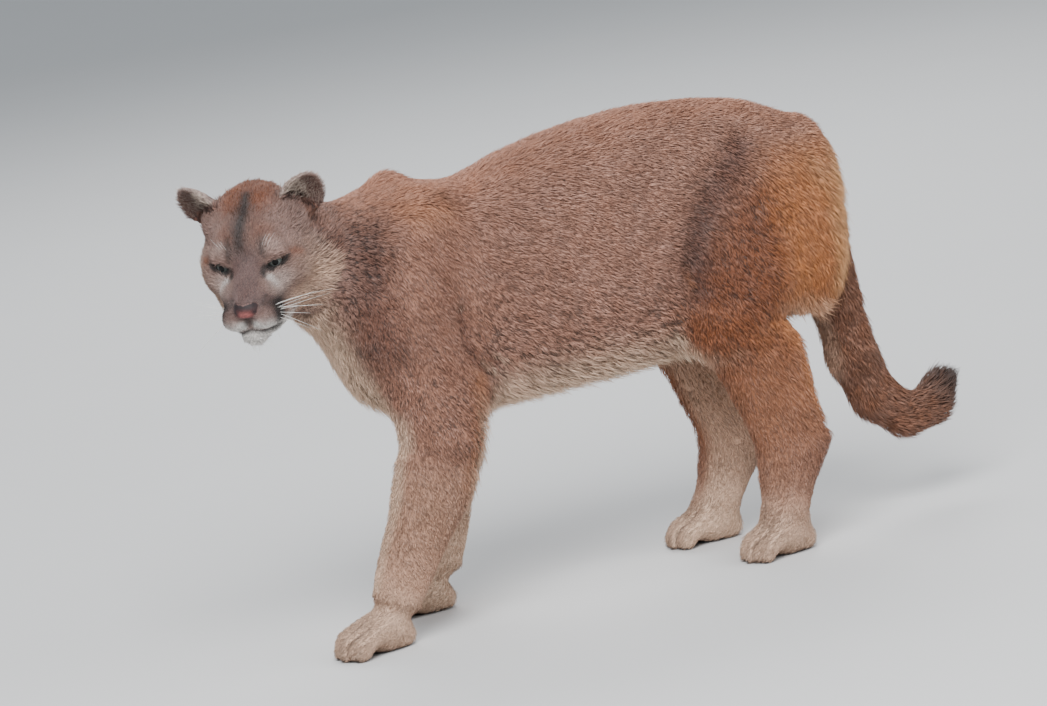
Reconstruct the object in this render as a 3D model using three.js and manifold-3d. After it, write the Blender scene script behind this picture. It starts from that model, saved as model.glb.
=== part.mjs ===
// A life-size cougar in mid-step, head low and turned to its left, as a still museum model.
// Millimetres, +Z up. The cat faces -X, its left side is towards -Y, and its paws stand on z = 0.
// The whole cat, coat included, is one smooth field. Each node is a stretch of the field's surface,
// closed by thin cuts, and the group stands with its origin under the middle of its bounding box.
import * as THREE from "three";
import { mergeVertices } from "three/addons/utils/BufferGeometryUtils.js";
import Module from "manifold-3d";

const wasm = await Module();
wasm.setup();

// Driving dimensions
const GAP = 0.3; // clearance between pieces that meet
const FAR_AWAY = 2000; // the size of a cutting block, more than the cat's length

// Trunk stations from breast to rump: place along X, back line, belly line and half width
const TRUNK = [
  { x: 70, top: 585, bottom: 352, half: 74 },
  { x: 150, top: 630, bottom: 318, half: 98 },
  { x: 235, top: 634, bottom: 300, half: 110 },
  { x: 350, top: 664, bottom: 303, half: 122 },
  { x: 470, top: 681, bottom: 304, half: 122 },
  { x: 580, top: 681, bottom: 322, half: 104 },
  { x: 690, top: 663, bottom: 385, half: 94 },
  { x: 775, top: 624, bottom: 435, half: 76 },
];
const BREAST_REACH = 49; // how far the trunk's round ends go past its first and last station
const RUMP_REACH = 55;

// Joints of the skeleton, and the paws' middles on the floor
const NECK = { skull: [-34, -6, 570], base: [95, 2, 528], breast: [110, 0, 424] };
const FORELEGS = {
  left: { side: -1, blade: [190, -54, 618], shoulder: [98, -80, 456], elbow: [140, -84, 300],
    forearm: [110, -85, 215], wrist: [41, -85, 88], paw: [-3, -85], turn: 8 },
  right: { side: 1, blade: [158, 42, 644], shoulder: [104, 80, 455], elbow: [198, 78, 302],
    forearm: [190, 77, 225], wrist: [159, 75, 90], paw: [119, 75], turn: -4 },
};
const HINDLEGS = {
  left: { side: -1, hip: [704, -62, 524], knee: [594, -96, 356], tendon: [674, -86, 300],
    heel: [700, -90, 160], hock: [654, -91, 150], foot: [638, -93, 62], paw: [630, -94], turn: 6 },
  right: { side: 1, hip: [700, 62, 520], knee: [581, 94, 342], tendon: [659, 82, 288],
    heel: [683, 86, 148], hock: [639, 87, 138], foot: [607, 88, 58], paw: [589, 88], turn: -4 },
};
const TAIL = [
  { at: [778, 0, 548], r: 42 },
  { at: [802, 0, 450], r: 38 },
  { at: [809, 0, 330], r: 39 },
  { at: [821, 0, 246], r: 40 },
  { at: [850, 2, 174], r: 37 },
  { at: [894, 6, 137], r: 34 },
  { at: [940, 14, 140], r: 31 },
  { at: [966, 26, 164], r: 27 },
];

// The head in its own axes: X to the nose, Y to the cat's left, Z to the crown
const HEAD = { place: [-76, -46, 596], yaw: 58, noseDown: 17 };
const EYE = { at: [50, 34.5, 15], r: 16.3, lid: 2.6, width: 31, height: 17, outward: 16 };
const EAR = { inner: [-5, 44, 70], outer: [-28, 89, 38], tip: [-22, 93, 103], cup: 25, wall: 4.5, lift: 8 };
const EAR_TURN = { left: 0, right: 9 }; // degrees that each ear is turned outwards
const NOSE = { x: 129, width: 35, top: -8, bottom: -33, nostril: [146, 11, -22] };
const MOUTH = { front: 142, z: -48, corner: 92, slope: 0.36, lipDrop: 5 };

// Small helpers on points
const mix = (a, b, t) => a.map((c, i) => c + t * (b[i] - c));
const difference = (a, b) => a.map((c, i) => c - b[i]);
const vector = (point) => new THREE.Vector3(...point);

// Fields: each gives the distance from a point to a form, negative inside

// A ball pulled to three radii, and pitched by degrees about Y
function egg([a, b, c], [ra, rb, rc], pitch = 0) {
  const angle = THREE.MathUtils.degToRad(pitch);
  const [cos, sin] = [Math.cos(angle), Math.sin(angle)];
  return (x, y, z) => {
    const u = cos * (x - a) - sin * (z - c);
    const v = y - b;
    const w = sin * (x - a) + cos * (z - c);
    const near = Math.hypot(u / ra, v / rb, w / rc);
    return near * (near - 1) / (Math.hypot(u / ra ** 2, v / rb ** 2, w / rc ** 2) + 1e-9);
  };
}

const ball = (at, r) => egg(at, [r, r, r]);

// A round bar that tapers from one ball to another
function bar(a, ra, b, rb) {
  const [dx, dy, dz] = difference(b, a);
  const square = dx * dx + dy * dy + dz * dz;
  return (x, y, z) => {
    const along = ((x - a[0]) * dx + (y - a[1]) * dy + (z - a[2]) * dz) / square;
    const t = Math.min(1, Math.max(0, along));
    return Math.hypot(x - a[0] - t * dx, y - a[1] - t * dy, z - a[2] - t * dz) - ra - t * (rb - ra);
  };
}

// The smaller of two distances, with the crease between the forms filled over a width of k
function softMin(a, b, k) {
  const h = Math.max(k - Math.abs(a - b), 0) / k;
  return Math.min(a, b) - h * h * k / 4;
}

const grown = (k, ...forms) => (x, y, z) =>
  forms.reduce((d, form) => softMin(d, form(x, y, z), k), FAR_AWAY);

// A form made narrower across the body, about its own middle plane
const slim = (form, middle, times) => (x, y, z) => form(x, middle + (y - middle) * times, z);

// A smooth dent of that depth round a point
const dent = ([a, b, c], depth, [ra, rb, rc]) => (x, y, z) =>
  depth * Math.exp(-(((x - a) / ra) ** 2) - ((y - b) / rb) ** 2 - ((z - c) / rc) ** 2);

// A smooth curve through one value of the stations, read at x
function through(stations, key, x) {
  const last = stations.length - 1;
  let i = 0;
  while (i < last - 1 && x > stations[i + 1].x) i++;
  const slope = (j) => {
    const [before, after] = [stations[Math.max(0, j - 1)], stations[Math.min(last, j + 1)]];
    return (after[key] - before[key]) / (after.x - before.x);
  };
  const [from, to] = [stations[i], stations[i + 1]];
  const width = to.x - from.x;
  const t = THREE.MathUtils.clamp((x - from.x) / width, 0, 1);
  const ease = t * t * (3 - 2 * t);
  return from[key] + ease * (to[key] - from[key])
    + width * t * (1 - t) * (slope(i) * (1 - t) - slope(i + 1) * t);
}

// The trunk: an oval section swept from breast to rump, with round ends
function trunk(x, y, z) {
  const [first, last] = [TRUNK[0].x, TRUNK[TRUNK.length - 1].x];
  const top = through(TRUNK, "top", x);
  const tall = (top - through(TRUNK, "bottom", x)) / 2;
  const half = through(TRUNK, "half", x);
  const past = x < first ? (first - x) / BREAST_REACH : Math.max(0, x - last) / RUMP_REACH;
  const fullness = 2.3; // 2 would be an ellipse
  const near = (past ** fullness + Math.abs(y / half) ** fullness
    + Math.abs((z - top + tall) / tall) ** fullness) ** (1 / fullness);
  return (near - 1) * Math.min(half, tall) * 0.9;
}

const neck = grown(40,
  bar(NECK.skull, 73, NECK.base, 107),
  egg(NECK.breast, [58, 72, 88], -20));

// The head's skull, cheeks, throat, jaw and muzzle, made for one side
const skull = grown(15,
  egg([-18, 0, 30], [78, 62, 63]),
  egg([30, 0, 34], [42, 46, 40]),
  egg([18, 42, -8], [50, 37, 42]),
  egg([-28, 48, -20], [50, 43, 50]),
  egg([-22, 50, 42], [32, 26, 28]),
  egg([0, 0, -44], [82, 58, 40]),
  bar([-8, 40, -50], 36, [86, 20, -58], 20),
  bar([50, 0, 14], 32, [122, 0, -17], 18),
  egg([74, 28, -16], [32, 20, 22]));
const muzzle = grown(8,
  egg([111, 22, -40], [31, 21, 20]),
  egg([108, 0, -64], [25, 21, 16]),
  egg([96, 0, -46], [34, 34, 22]),
  egg([133, 0, -20], [13, 18, 12]));
const brow = egg([52, 33, 36], [20, 24, 11], 20);
const lidBulge = ball(EYE.at, EYE.r + EYE.lid);
const faceDents = [
  dent([82, 20, 9], 5, [14, 7, 14]), // between the eye and the nose bridge
  dent([70, 43, -7], 4, [16, 14, 6]), // under the eye
  dent([148, 0, -42], 4, [14, 2.6, 8]), // the furrow under the nose
  dent([70, 0, 46], 3, [26, 7, 22]), // between the brows
];

// The height of the mouth line: it runs down to its corners and hangs under each whisker pad
const mouthLine = (x, y) => MOUTH.z + MOUTH.slope * (x - MOUTH.front)
  - MOUTH.lipDrop * Math.exp(-(((Math.abs(y) - 19) / 11) ** 2));

function headForm(x, y, z) {
  const side = Math.abs(y);
  let d = softMin(skull(x, side, z), muzzle(x, side, z), 10);
  d = softMin(d, brow(x, side, z), 10);
  d = softMin(d, lidBulge(x, side, z), 6);
  for (const form of faceDents)
    d += form(x, side, z);
  const lipGroove = 3 * Math.exp(-(((z - mouthLine(x, y)) / 2.6) ** 2));
  return d + lipGroove / (1 + Math.exp((MOUTH.corner - x) / 3));
}

// The head's place and turn in the room
const headFrame = new THREE.Matrix4();
{
  const [yaw, down] = [HEAD.yaw, HEAD.noseDown].map(THREE.MathUtils.degToRad);
  const nose = vector([-Math.cos(yaw) * Math.cos(down), -Math.sin(yaw) * Math.cos(down), -Math.sin(down)]);
  const left = vector([0, 0, 1]).cross(nose).normalize();
  headFrame.makeBasis(nose, left, nose.clone().cross(left)).setPosition(...HEAD.place);
}

// A field that was made in a frame's own axes, as seen from the room
function placed(form, frame) {
  const e = frame.clone().invert().elements;
  return (x, y, z) => form(
    e[0] * x + e[4] * y + e[8] * z + e[12],
    e[1] * x + e[5] * y + e[9] * z + e[13],
    e[2] * x + e[6] * y + e[10] * z + e[14]);
}

// A foreleg: shoulder blade, upper arm, forearm and wrist
const foreleg = ({ side, blade, shoulder, elbow, forearm, wrist }) => grown(30,
  bar(blade, 24, shoulder, 58),
  slim(bar(shoulder, 62, elbow, 58), shoulder[1], 1.1),
  egg([elbow[0] + 8, elbow[1] - side * 6, elbow[2] + 62], [60, 40, 84], -12),
  slim(grown(30,
    bar([elbow[0] - 4, elbow[1], elbow[2] - 14], 60, forearm, 54),
    bar(forearm, 54, wrist, 45)), forearm[1], 1.2));

// A hind leg: thigh, knee, shank, heel tendon, and the long foot down from the hock
const hindleg = ({ side, hip, knee, tendon, heel, hock, foot }) => grown(32,
  egg([hip[0] + 4, hip[1] - side * 8, hip[2] - 40], [88, 54, 128], -24),
  egg([hip[0] + 30, hip[1] - side * 4, hip[2] - 80], [54, 44, 118], -14),
  slim(bar([hip[0] - 50, hip[1] + side * 18, hip[2] - 110], 68, knee, 52), knee[1], 1.12),
  slim(bar(knee, 52, hock, 35), knee[1], 1.12),
  bar(tendon, 38, heel, 26),
  bar(heel, 24, mix(heel, foot, 0.7), 28),
  bar(hock, 36, foot, 34));

// A paw in its own axes, with X away from the toes and its sole at z = 0
function paw({ longest, spread, heel }) {
  const toe = { r: 14, sink: 3.5 };
  const toes = [-1.5, -0.5, 0.5, 1.5].map((place) => {
    const reach = longest - 7 * Math.abs(place) ** 1.6;
    const y = place * spread;
    return grown(6,
      bar([-12, y * 0.8, 33], 16, [-reach + 20, y, 22], toe.r),
      ball([-reach + toe.r, y, toe.r - toe.sink], toe.r));
  });
  return grown(7, ...toes,
    egg([4, 0, 28], [40, 37, 32]),
    egg([heel, 0, 16], [26, 27, 20]));
}
const forepaw = paw({ longest: 74, spread: 21, heel: 30 });
const hindpaw = paw({ longest: 72, spread: 19, heel: 28 });

const pawFrame = ({ paw: [x, y], turn }) =>
  new THREE.Matrix4().makeRotationZ(THREE.MathUtils.degToRad(turn)).setPosition(x, y, 0);

const tail = grown(12, ...TAIL.slice(1).map((end, i) => bar(TAIL[i].at, TAIL[i].r, end.at, end.r)));

const head = placed(headForm, headFrame);
const legs = [
  ...Object.values(FORELEGS).map((leg) => grown(20, foreleg(leg), placed(forepaw, pawFrame(leg)))),
  ...Object.values(HINDLEGS).map((leg) => grown(20, hindleg(leg), placed(hindpaw, pawFrame(leg)))),
];

// The whole cat as one field
function cat(x, y, z) {
  let d = softMin(trunk(x, y, z), neck(x, y, z), 60);
  d = softMin(d, head(x, y, z), 34);
  for (const leg of legs)
    d = softMin(d, leg(x, y, z), 36);
  return softMin(d, tail(x, y, z), 26);
}

// Grid lines from one end to the other. The step is a number, or a function of the place.
function lines(from, to, step) {
  const made = [from];
  for (let at = from; at < to; made.push(at))
    at += typeof step === "function" ? step(at) : step;
  return made;
}

// Moves a cell's vertex along the field's slope onto the surface, without leaving its cell
function settle(read, start, low, high) {
  const h = 0.5;
  let at = start;
  for (let turn = 0; turn < 3; turn++) {
    const d = read(...at);
    const slope = at.map((_, axis) =>
      (read(...at.map((c, i) => (i === axis ? c + h : c))) - d) / h);
    const steep = slope.reduce((sum, g) => sum + g * g, 1e-6);
    at = at.map((c, axis) => {
      const edge = 0.02 * (high[axis] - low[axis]);
      return THREE.MathUtils.clamp(c - 0.8 * d * slope[axis] / steep, low[axis] + edge, high[axis] - edge);
    });
  }
  return at;
}

// A grid cell's corners, its edges, and the edges round each of its faces
const CORNERS = [0, 1, 2, 3, 4, 5, 6, 7].map((n) => [n & 1, (n >> 1) & 1, n >> 2]);
const EDGES = CORNERS.flatMap((_, a) =>
  [0, 1, 2].filter((axis) => !CORNERS[a][axis]).map((axis) => ({ a, b: a | (1 << axis), axis })));
const FACES = [0, 1, 2].flatMap((axis) => [0, 1].map((side) =>
  EDGES.filter((edge) => edge.axis !== axis && CORNERS[edge.a][axis] === side)));
const edgeKey = (cell, corner, axis) => (cell * 8 + corner) * 3 + axis;

// The edges of a cell that the surface crosses, in groups: one for each sheet that passes through it
function sheets(inside) {
  const crossed = EDGES.filter(({ a, b }) => inside[a] !== inside[b]);
  const sheetOf = new Map(crossed.map((edge) => [edge, edge]));
  const join = (edge, other) => {
    const [from, to] = [sheetOf.get(other), sheetOf.get(edge)];
    for (const [key, sheet] of sheetOf)
      if (sheet === from) sheetOf.set(key, to);
  };
  const meetInside = (edge, other) =>
    [edge.a, edge.b].some((corner) => inside[corner] && (corner === other.a || corner === other.b));
  for (const face of FACES) {
    const met = face.filter((edge) => sheetOf.has(edge));
    for (const edge of met)
      for (const other of met)
        if (met.length === 2 || meetInside(edge, other)) join(edge, other);
  }
  return [...new Set(sheetOf.values())].map((sheet) => crossed.filter((edge) => sheetOf.get(edge) === sheet));
}

// The closed surface where a field is zero, inside a grid laid in the frame's own axes: one vertex for
// each sheet in a grid cell, and one quad over each grid edge that the surface crosses
function surface(field, frame, grid) {
  const point = new THREE.Vector3();
  const read = (x, y, z) => {
    point.set(x, y, z).applyMatrix4(frame);
    return field(point.x, point.y, point.z);
  };
  const count = grid.map((ticks) => ticks.length);
  const stride = [1, count[0], count[0] * count[1]];
  const eachCell = (visit) => {
    for (let k = 0; k < count[2] - 1; k++)
      for (let j = 0; j < count[1] - 1; j++)
        for (let i = 0; i < count[0] - 1; i++)
          visit([i, j, k], i + j * stride[1] + k * stride[2]);
  };
  const value = new Float64Array(count[0] * count[1] * count[2]);
  for (let n = 0; n < value.length; n++) {
    const cell = [n % count[0], Math.floor(n / stride[1]) % count[1], Math.floor(n / stride[2])];
    const rim = cell.some((at, axis) => at === 0 || at === count[axis] - 1);
    const d = read(...cell.map((at, axis) => grid[axis][at]));
    value[n] = rim ? Math.max(0.5, d) : d;
  }

  const vertices = [];
  const vertexOf = new Map();
  const reach = (corner) => corner.reduce((sum, c, axis) => sum + c * stride[axis], 0);
  eachCell((cell, here) => {
    const corner = CORNERS.map((place) => value[here + reach(place)]);
    const low = cell.map((c, axis) => grid[axis][c]);
    const high = cell.map((c, axis) => grid[axis][c + 1]);
    for (const sheet of sheets(corner.map((d) => d < 0))) {
      const middle = [0, 0, 0];
      for (const { a, b } of sheet) {
        const t = corner[a] / (corner[a] - corner[b]);
        mix(CORNERS[a], CORNERS[b], t).forEach((part, axis) => {
          middle[axis] += (low[axis] + part * (high[axis] - low[axis])) / sheet.length;
        });
      }
      for (const { a, axis } of sheet) vertexOf.set(edgeKey(here, a, axis), vertices.length);
      vertices.push(settle(read, middle, low, high));
    }
  });

  const faces = [];
  const span = (a, b) => vector(vertices[a]).distanceTo(vector(vertices[b]));
  eachCell((cell, here) => {
    for (let axis = 0; axis < 3; axis++) {
      const [u, w] = [(axis + 1) % 3, (axis + 2) % 3];
      const [first, second] = [value[here] < 0, value[here + stride[axis]] < 0];
      if (first === second || !cell[u] || !cell[w]) continue;
      const quad = [[1, 1], [0, 1], [0, 0], [1, 0]].map(([back, down]) =>
        vertexOf.get(edgeKey(here - back * stride[u] - down * stride[w], back << u | down << w, axis)));
      if (second) quad.reverse();
      if (span(quad[0], quad[2]) > span(quad[1], quad[3])) quad.push(quad.shift());
      faces.push(quad[0], quad[1], quad[2], quad[0], quad[2], quad[3]);
    }
  });
  const geometry = new THREE.BufferGeometry();
  geometry.setAttribute("position", new THREE.BufferAttribute(new Float32Array(vertices.flat()), 3));
  geometry.setIndex(faces);
  return solid(geometry.applyMatrix4(frame));
}

// Solids, and the tools that cut them
function bare(geometry) {
  geometry.deleteAttribute("normal");
  geometry.deleteAttribute("uv");
  return geometry;
}

function solid(geometry) {
  const merged = mergeVertices(bare(geometry), 1e-4);
  return new wasm.Manifold(new wasm.Mesh({
    numProp: 3,
    vertProperties: new Float32Array(merged.attributes.position.array),
    triVerts: new Uint32Array(merged.index.array),
  }));
}

// All that lies on the side of a plane which its normal points away from, less half a gap
function behind(point, normal) {
  const turn = new THREE.Quaternion().setFromUnitVectors(vector([0, 0, 1]), vector(normal).normalize());
  return solid(new THREE.BoxGeometry(FAR_AWAY, FAR_AWAY, FAR_AWAY)
    .translate(0, 0, -FAR_AWAY / 2 - GAP / 2)
    .applyQuaternion(turn)
    .translate(...point));
}
const ahead = (point, normal) => behind(point, normal.map((n) => -n));
const between = (made, from, to) =>
  made.intersect(ahead(from.at, from.normal)).intersect(behind(to.at, to.normal));

// A block whose side view is a round-ended band between two circles, and which reaches from a depth
// inside the body out past the flank
function flankBlock([x1, z1, r1], [x2, z2, r2], inner, side, grow) {
  const along = Math.atan2(z2 - z1, x2 - x1);
  const lean = Math.acos((r1 - r2) / Math.hypot(x2 - x1, z2 - z1));
  const outline = new THREE.Shape()
    .absarc(x2, z2, r2 + grow, along - lean, along + lean, false)
    .absarc(x1, z1, r1 + grow, along + lean, along - lean + 2 * Math.PI, false);
  const depth = 250;
  const near = side < 0 ? -inner + grow : inner - grow + depth;
  return solid(new THREE.ExtrudeGeometry(outline, { depth, bevelEnabled: false, curveSegments: 6 })
    .rotateX(Math.PI / 2)
    .translate(0, near, 0));
}

// What belongs to each leg: a band over shoulder or thigh, a band down the limb, and all below the belly
const UNDER_BELLY = 284;
function limbBlock(bands, side, grow) {
  const block = bands.map(([from, to, inner]) => flankBlock(from, to, inner, side, grow))
    .reduce((whole, band) => whole.add(band));
  const middle = bands[0][0][0];
  return block.add(solid(new THREE.BoxGeometry(380, 240, UNDER_BELLY)
    .translate(middle, side * (120 + GAP / 2) - side * grow / 2, UNDER_BELLY / 2 + grow)));
}
function foreBlock({ side, blade, shoulder, elbow }, grow = 0) {
  const point = [shoulder[0] + 24, shoulder[2] - 34];
  return limbBlock([
    [[blade[0] - 14, blade[2] - 60, 58], [...point, 104], 46],
    [[...point, 104], [elbow[0] - 8, elbow[2] - 60, 96], 34],
  ], side, grow);
}
function hindBlock({ side, hip, knee, tendon }, grow = 0) {
  const thigh = [hip[0] - 12, hip[2] - 140];
  return limbBlock([
    [[hip[0] + 4, hip[2] - 40, 92], [...thigh, 100], 58],
    [[knee[0] + 36, knee[2] + 36, 104], [tendon[0] - 60, knee[2] - 100, 110], 34],
  ], side, grow);
}

// The stretch of the coat's surface round the line between two points
function stretch(from, to, reach, across, step) {
  const [a, b] = [vector(from), vector(to)];
  const turn = new THREE.Quaternion().setFromUnitVectors(vector([0, 0, 1]), b.clone().sub(a).normalize());
  const frame = new THREE.Matrix4().makeRotationFromQuaternion(turn).setPosition(a);
  const side = lines(-reach, reach, across);
  return surface(cat, frame, [side, side, lines(-40, a.distanceTo(b) + 40, step)]);
}

// Assembly
const cougar = new THREE.Group();
const COAT = { back: 0xa06a48, flank: 0xb08560, leg: 0xb8875c, paw: 0xc09a70, throat: 0xcdb394,
  face: 0xa58468, chin: 0xe6ded2, ear: 0x76584a, tail: 0x94603f, tip: 0x3c2820 };
const NOSE_LEATHER = 0xb5604f;
const IRIS = 0x7d8466;

function addNode(name, made, color, roughness = 0.9) {
  const biggest = made.decompose().sort((a, b) => b.volume() - a.volume())[0];
  const { vertProperties, triVerts } = biggest.getMesh();
  const geometry = new THREE.BufferGeometry();
  geometry.setAttribute("position", new THREE.BufferAttribute(new Float32Array(vertProperties), 3));
  geometry.setIndex(new THREE.BufferAttribute(new Uint32Array(triVerts), 1));
  const mesh = new THREE.Mesh(geometry, new THREE.MeshStandardMaterial({ color, roughness, metalness: 0 }));
  mesh.name = name;
  cougar.add(mesh);
}

// Cuts across the body
const cuts = {
  floor: { at: [0, 0, -GAP / 2], normal: [0, 0, 1] },
  nape: { at: [4, -4, 548], normal: [0.86, 0.12, -0.42] },
  withers: { at: [56, 0, 520], normal: [0.9, 0, -0.42] },
  ribs: { at: [262, 0, 480], normal: [1, 0, 0] },
  loin: { at: [596, 0, 480], normal: [1, 0, 0] },
};

const room = new THREE.Matrix4();
const body = surface(cat, room, [lines(-70, 900, 41), lines(-175, 175, 30), lines(205, 720, 32)]);

// Tail: a round plug where it hangs against the rump, and all that lies behind and below it
const TAIL_TOP = 505;
function tailBlock(grow = 0) {
  const [top, low] = [TAIL_TOP + grow, 300];
  return solid(new THREE.CylinderGeometry(45 + grow, 45 + grow, top - low, 18)
    .rotateX(Math.PI / 2)
    .translate(TAIL[1].at[0] + 2, 0, (top + low) / 2))
    .add(solid(new THREE.BoxGeometry(400, 160, low + 10).translate(764 + 200 - grow, 0, low / 2 + 5 + grow)));
}

// Trunk and neck
const tailless = body.subtract(tailBlock(GAP));
let core = tailless;
for (const leg of Object.values(FORELEGS)) core = core.subtract(foreBlock(leg, GAP));
for (const leg of Object.values(HINDLEGS)) core = core.subtract(hindBlock(leg, GAP));
addNode("neck", between(core, cuts.nape, cuts.withers), COAT.throat);
addNode("chest", between(core, cuts.withers, cuts.ribs), COAT.flank);
addNode("barrel", between(core, cuts.ribs, cuts.loin), COAT.flank);
addNode("rump", core.intersect(ahead(cuts.loin.at, cuts.loin.normal)), COAT.back);

// Legs
function addLimb(name, from, to, cutIn, cutOut, color) {
  addNode(name, between(stretch(from, to, 90, 22, 34), cutIn, cutOut), color);
}
function addPaw(name, leg, cutIn) {
  const size = 14.5;
  const made = surface(cat, pawFrame(leg), [lines(-92, 72, size), lines(-62, 62, size), lines(-12, 110, size)]);
  addNode(name, made.intersect(ahead(cuts.floor.at, cuts.floor.normal))
    .intersect(ahead(cutIn.at, cutIn.normal)), COAT.paw);
}
for (const [which, leg] of Object.entries(FORELEGS)) {
  const elbowCut = { at: mix(leg.elbow, leg.forearm, 0.6), normal: difference(leg.forearm, leg.elbow) };
  const wristCut = { at: mix(leg.forearm, leg.wrist, 1.12), normal: difference(leg.wrist, leg.forearm) };
  addNode(`upper_foreleg_${which}`, tailless.intersect(foreBlock(leg))
    .intersect(behind(elbowCut.at, elbowCut.normal)), COAT.flank);
  addLimb(`forearm_${which}`, leg.elbow, leg.wrist, elbowCut, wristCut, COAT.leg);
  addPaw(`forepaw_${which}`, leg, wristCut);
}
for (const [which, leg] of Object.entries(HINDLEGS)) {
  const kneeCut = { at: [leg.knee[0] + 40, leg.knee[1], leg.knee[2] - 54], normal: [0.2, 0, -1] };
  const hockCut = { at: mix(leg.knee, leg.hock, 0.94), normal: [0.25, 0, -1] };
  const toeCut = { at: mix(leg.hock, leg.foot, 0.9), normal: [-0.3, 0, -1] };
  const shankTop = mix(leg.knee, leg.tendon, 0.5);
  const shankEnd = mix(leg.hock, leg.heel, 0.5);
  addNode(`thigh_${which}`, tailless.intersect(hindBlock(leg))
    .intersect(behind(kneeCut.at, kneeCut.normal)), COAT.back);
  addLimb(`shank_${which}`, shankTop, shankEnd, kneeCut, hockCut, COAT.leg);
  addLimb(`hind_foot_${which}`, shankEnd, leg.foot, hockCut, toeCut, COAT.leg);
  addPaw(`hind_paw_${which}`, leg, toeCut);
}

// Tail
const tailCuts = [2, 4, 6].map((i) => ({ at: TAIL[i].at, normal: difference(TAIL[i + 1].at, TAIL[i - 1].at) }));
const upperTail = surface(cat, room, [lines(740, 900, 18), lines(-68, 68, 17), lines(270, 560, 34)])
  .intersect(tailBlock());
const lowerTail = surface(cat, room, [lines(740, 1020, 18), lines(-60, 80, 17), lines(80, 420, 19)])
  .intersect(tailBlock());
addNode("tail_root", upperTail.intersect(behind(tailCuts[0].at, tailCuts[0].normal)), COAT.tail);
addNode("tail_middle", between(lowerTail, tailCuts[0], tailCuts[1]), COAT.tail);
addNode("tail_end", between(lowerTail, tailCuts[1], tailCuts[2]), COAT.tail);
addNode("tail_tip", lowerTail.intersect(ahead(tailCuts[2].at, tailCuts[2].normal)), COAT.tip);

// Head: its pieces are made in its own axes, for the left side, and then put in place
function inHead(geometry, side = "left") {
  if (side === "right") {
    geometry.scale(1, -1, 1);
    geometry.index.array.reverse();
  }
  return solid(geometry.applyMatrix4(headFrame));
}

// Lays an outline that was drawn across the face (its X to the cat's left, its Y up) along the head's X
function extrudeForward(outline, from, to) {
  const turn = new THREE.Matrix4().makeBasis(vector([0, 1, 0]), vector([0, 0, 1]), vector([1, 0, 0]));
  return mergeVertices(bare(new THREE.ExtrudeGeometry(outline,
    { depth: to - from, bevelEnabled: false, curveSegments: 7 }))
    .applyMatrix4(turn)
    .translate(from, 0, 0), 1e-4);
}

// The opening between the lids: an almond, flatter above, with its outer corner raised
function lidOpening() {
  const half = EYE.width / 2;
  const almond = new THREE.Shape()
    .moveTo(-half, -2)
    .bezierCurveTo(-half * 0.4, EYE.height * 0.6, half * 0.5, EYE.height * 0.62, half, 2.5)
    .bezierCurveTo(half * 0.5, -EYE.height * 0.66, -half * 0.4, -EYE.height * 0.8, -half, -2);
  return extrudeForward(almond, 0, 40)
    .rotateZ(THREE.MathUtils.degToRad(EYE.outward))
    .translate(...EYE.at);
}
const eyeball = (grow) => mergeVertices(bare(new THREE.SphereGeometry(EYE.r + grow, 16, 10)
  .rotateZ(-Math.PI / 2)
  .translate(...EYE.at)), 1e-4);

// The nose leather's outline: broad above, with a lobe round each nostril, narrow at the furrow
function nosePrism(grow) {
  const [wide, top, low] = [NOSE.width / 2 + grow, NOSE.top + grow, NOSE.bottom - grow];
  const outline = new THREE.Shape()
    .moveTo(0, top - 2)
    .quadraticCurveTo(wide * 0.7, top + 2, wide, top - 7)
    .quadraticCurveTo(wide * 0.95, low + 7, wide * 0.5, low + 5)
    .lineTo(2.5 + grow, low)
    .lineTo(-2.5 - grow, low)
    .lineTo(-wide * 0.5, low + 5)
    .quadraticCurveTo(-wide * 0.95, low + 7, -wide, top - 7)
    .quadraticCurveTo(-wide * 0.7, top + 2, 0, top - 2);
  return inHead(extrudeForward(outline, NOSE.x - grow, NOSE.x + 40));
}
const nostril = () => mergeVertices(bare(new THREE.SphereGeometry(1, 8, 6)
  .scale(8, 4.4, 3)
  .rotateX(-0.5)
  .rotateZ(0.5)
  .translate(...NOSE.nostril)), 1e-4);

// All below the mouth line and ahead of its corners
function jawBlock(grow) {
  const [wide, step, deep] = [62, 4, 150];
  const lip = lines(-wide, wide, step).map((y) => new THREE.Vector2(y, mouthLine(MOUTH.front, y) + grow));
  lip.push(new THREE.Vector2(wide + step, -deep), new THREE.Vector2(-wide, -deep));
  const slope = new THREE.Matrix4().makeShear(0, MOUTH.slope, 0, 0, 0, 0);
  return inHead(extrudeForward(new THREE.Shape(lip), MOUTH.corner - grow, MOUTH.front + 60)
    .translate(-MOUTH.front, 0, 0)
    .applyMatrix4(slope)
    .translate(MOUTH.front, 0, 0));
}

// An ear's axes: its root, across it from the inner to the outer root, up to its tip, and out of its cup
function earAxes() {
  const [inner, outer, tip] = [EAR.inner, EAR.outer, EAR.tip].map(vector);
  const root = inner.clone().add(outer).divideScalar(2);
  const across = outer.clone().sub(inner).normalize();
  const rise = tip.sub(root);
  const up = rise.clone().addScaledVector(across, -rise.dot(across)).normalize();
  return { height: rise.dot(up), half: outer.distanceTo(inner) / 2,
    frame: new THREE.Matrix4().makeBasis(across, up, across.clone().cross(up)).setPosition(root) };
}

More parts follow.
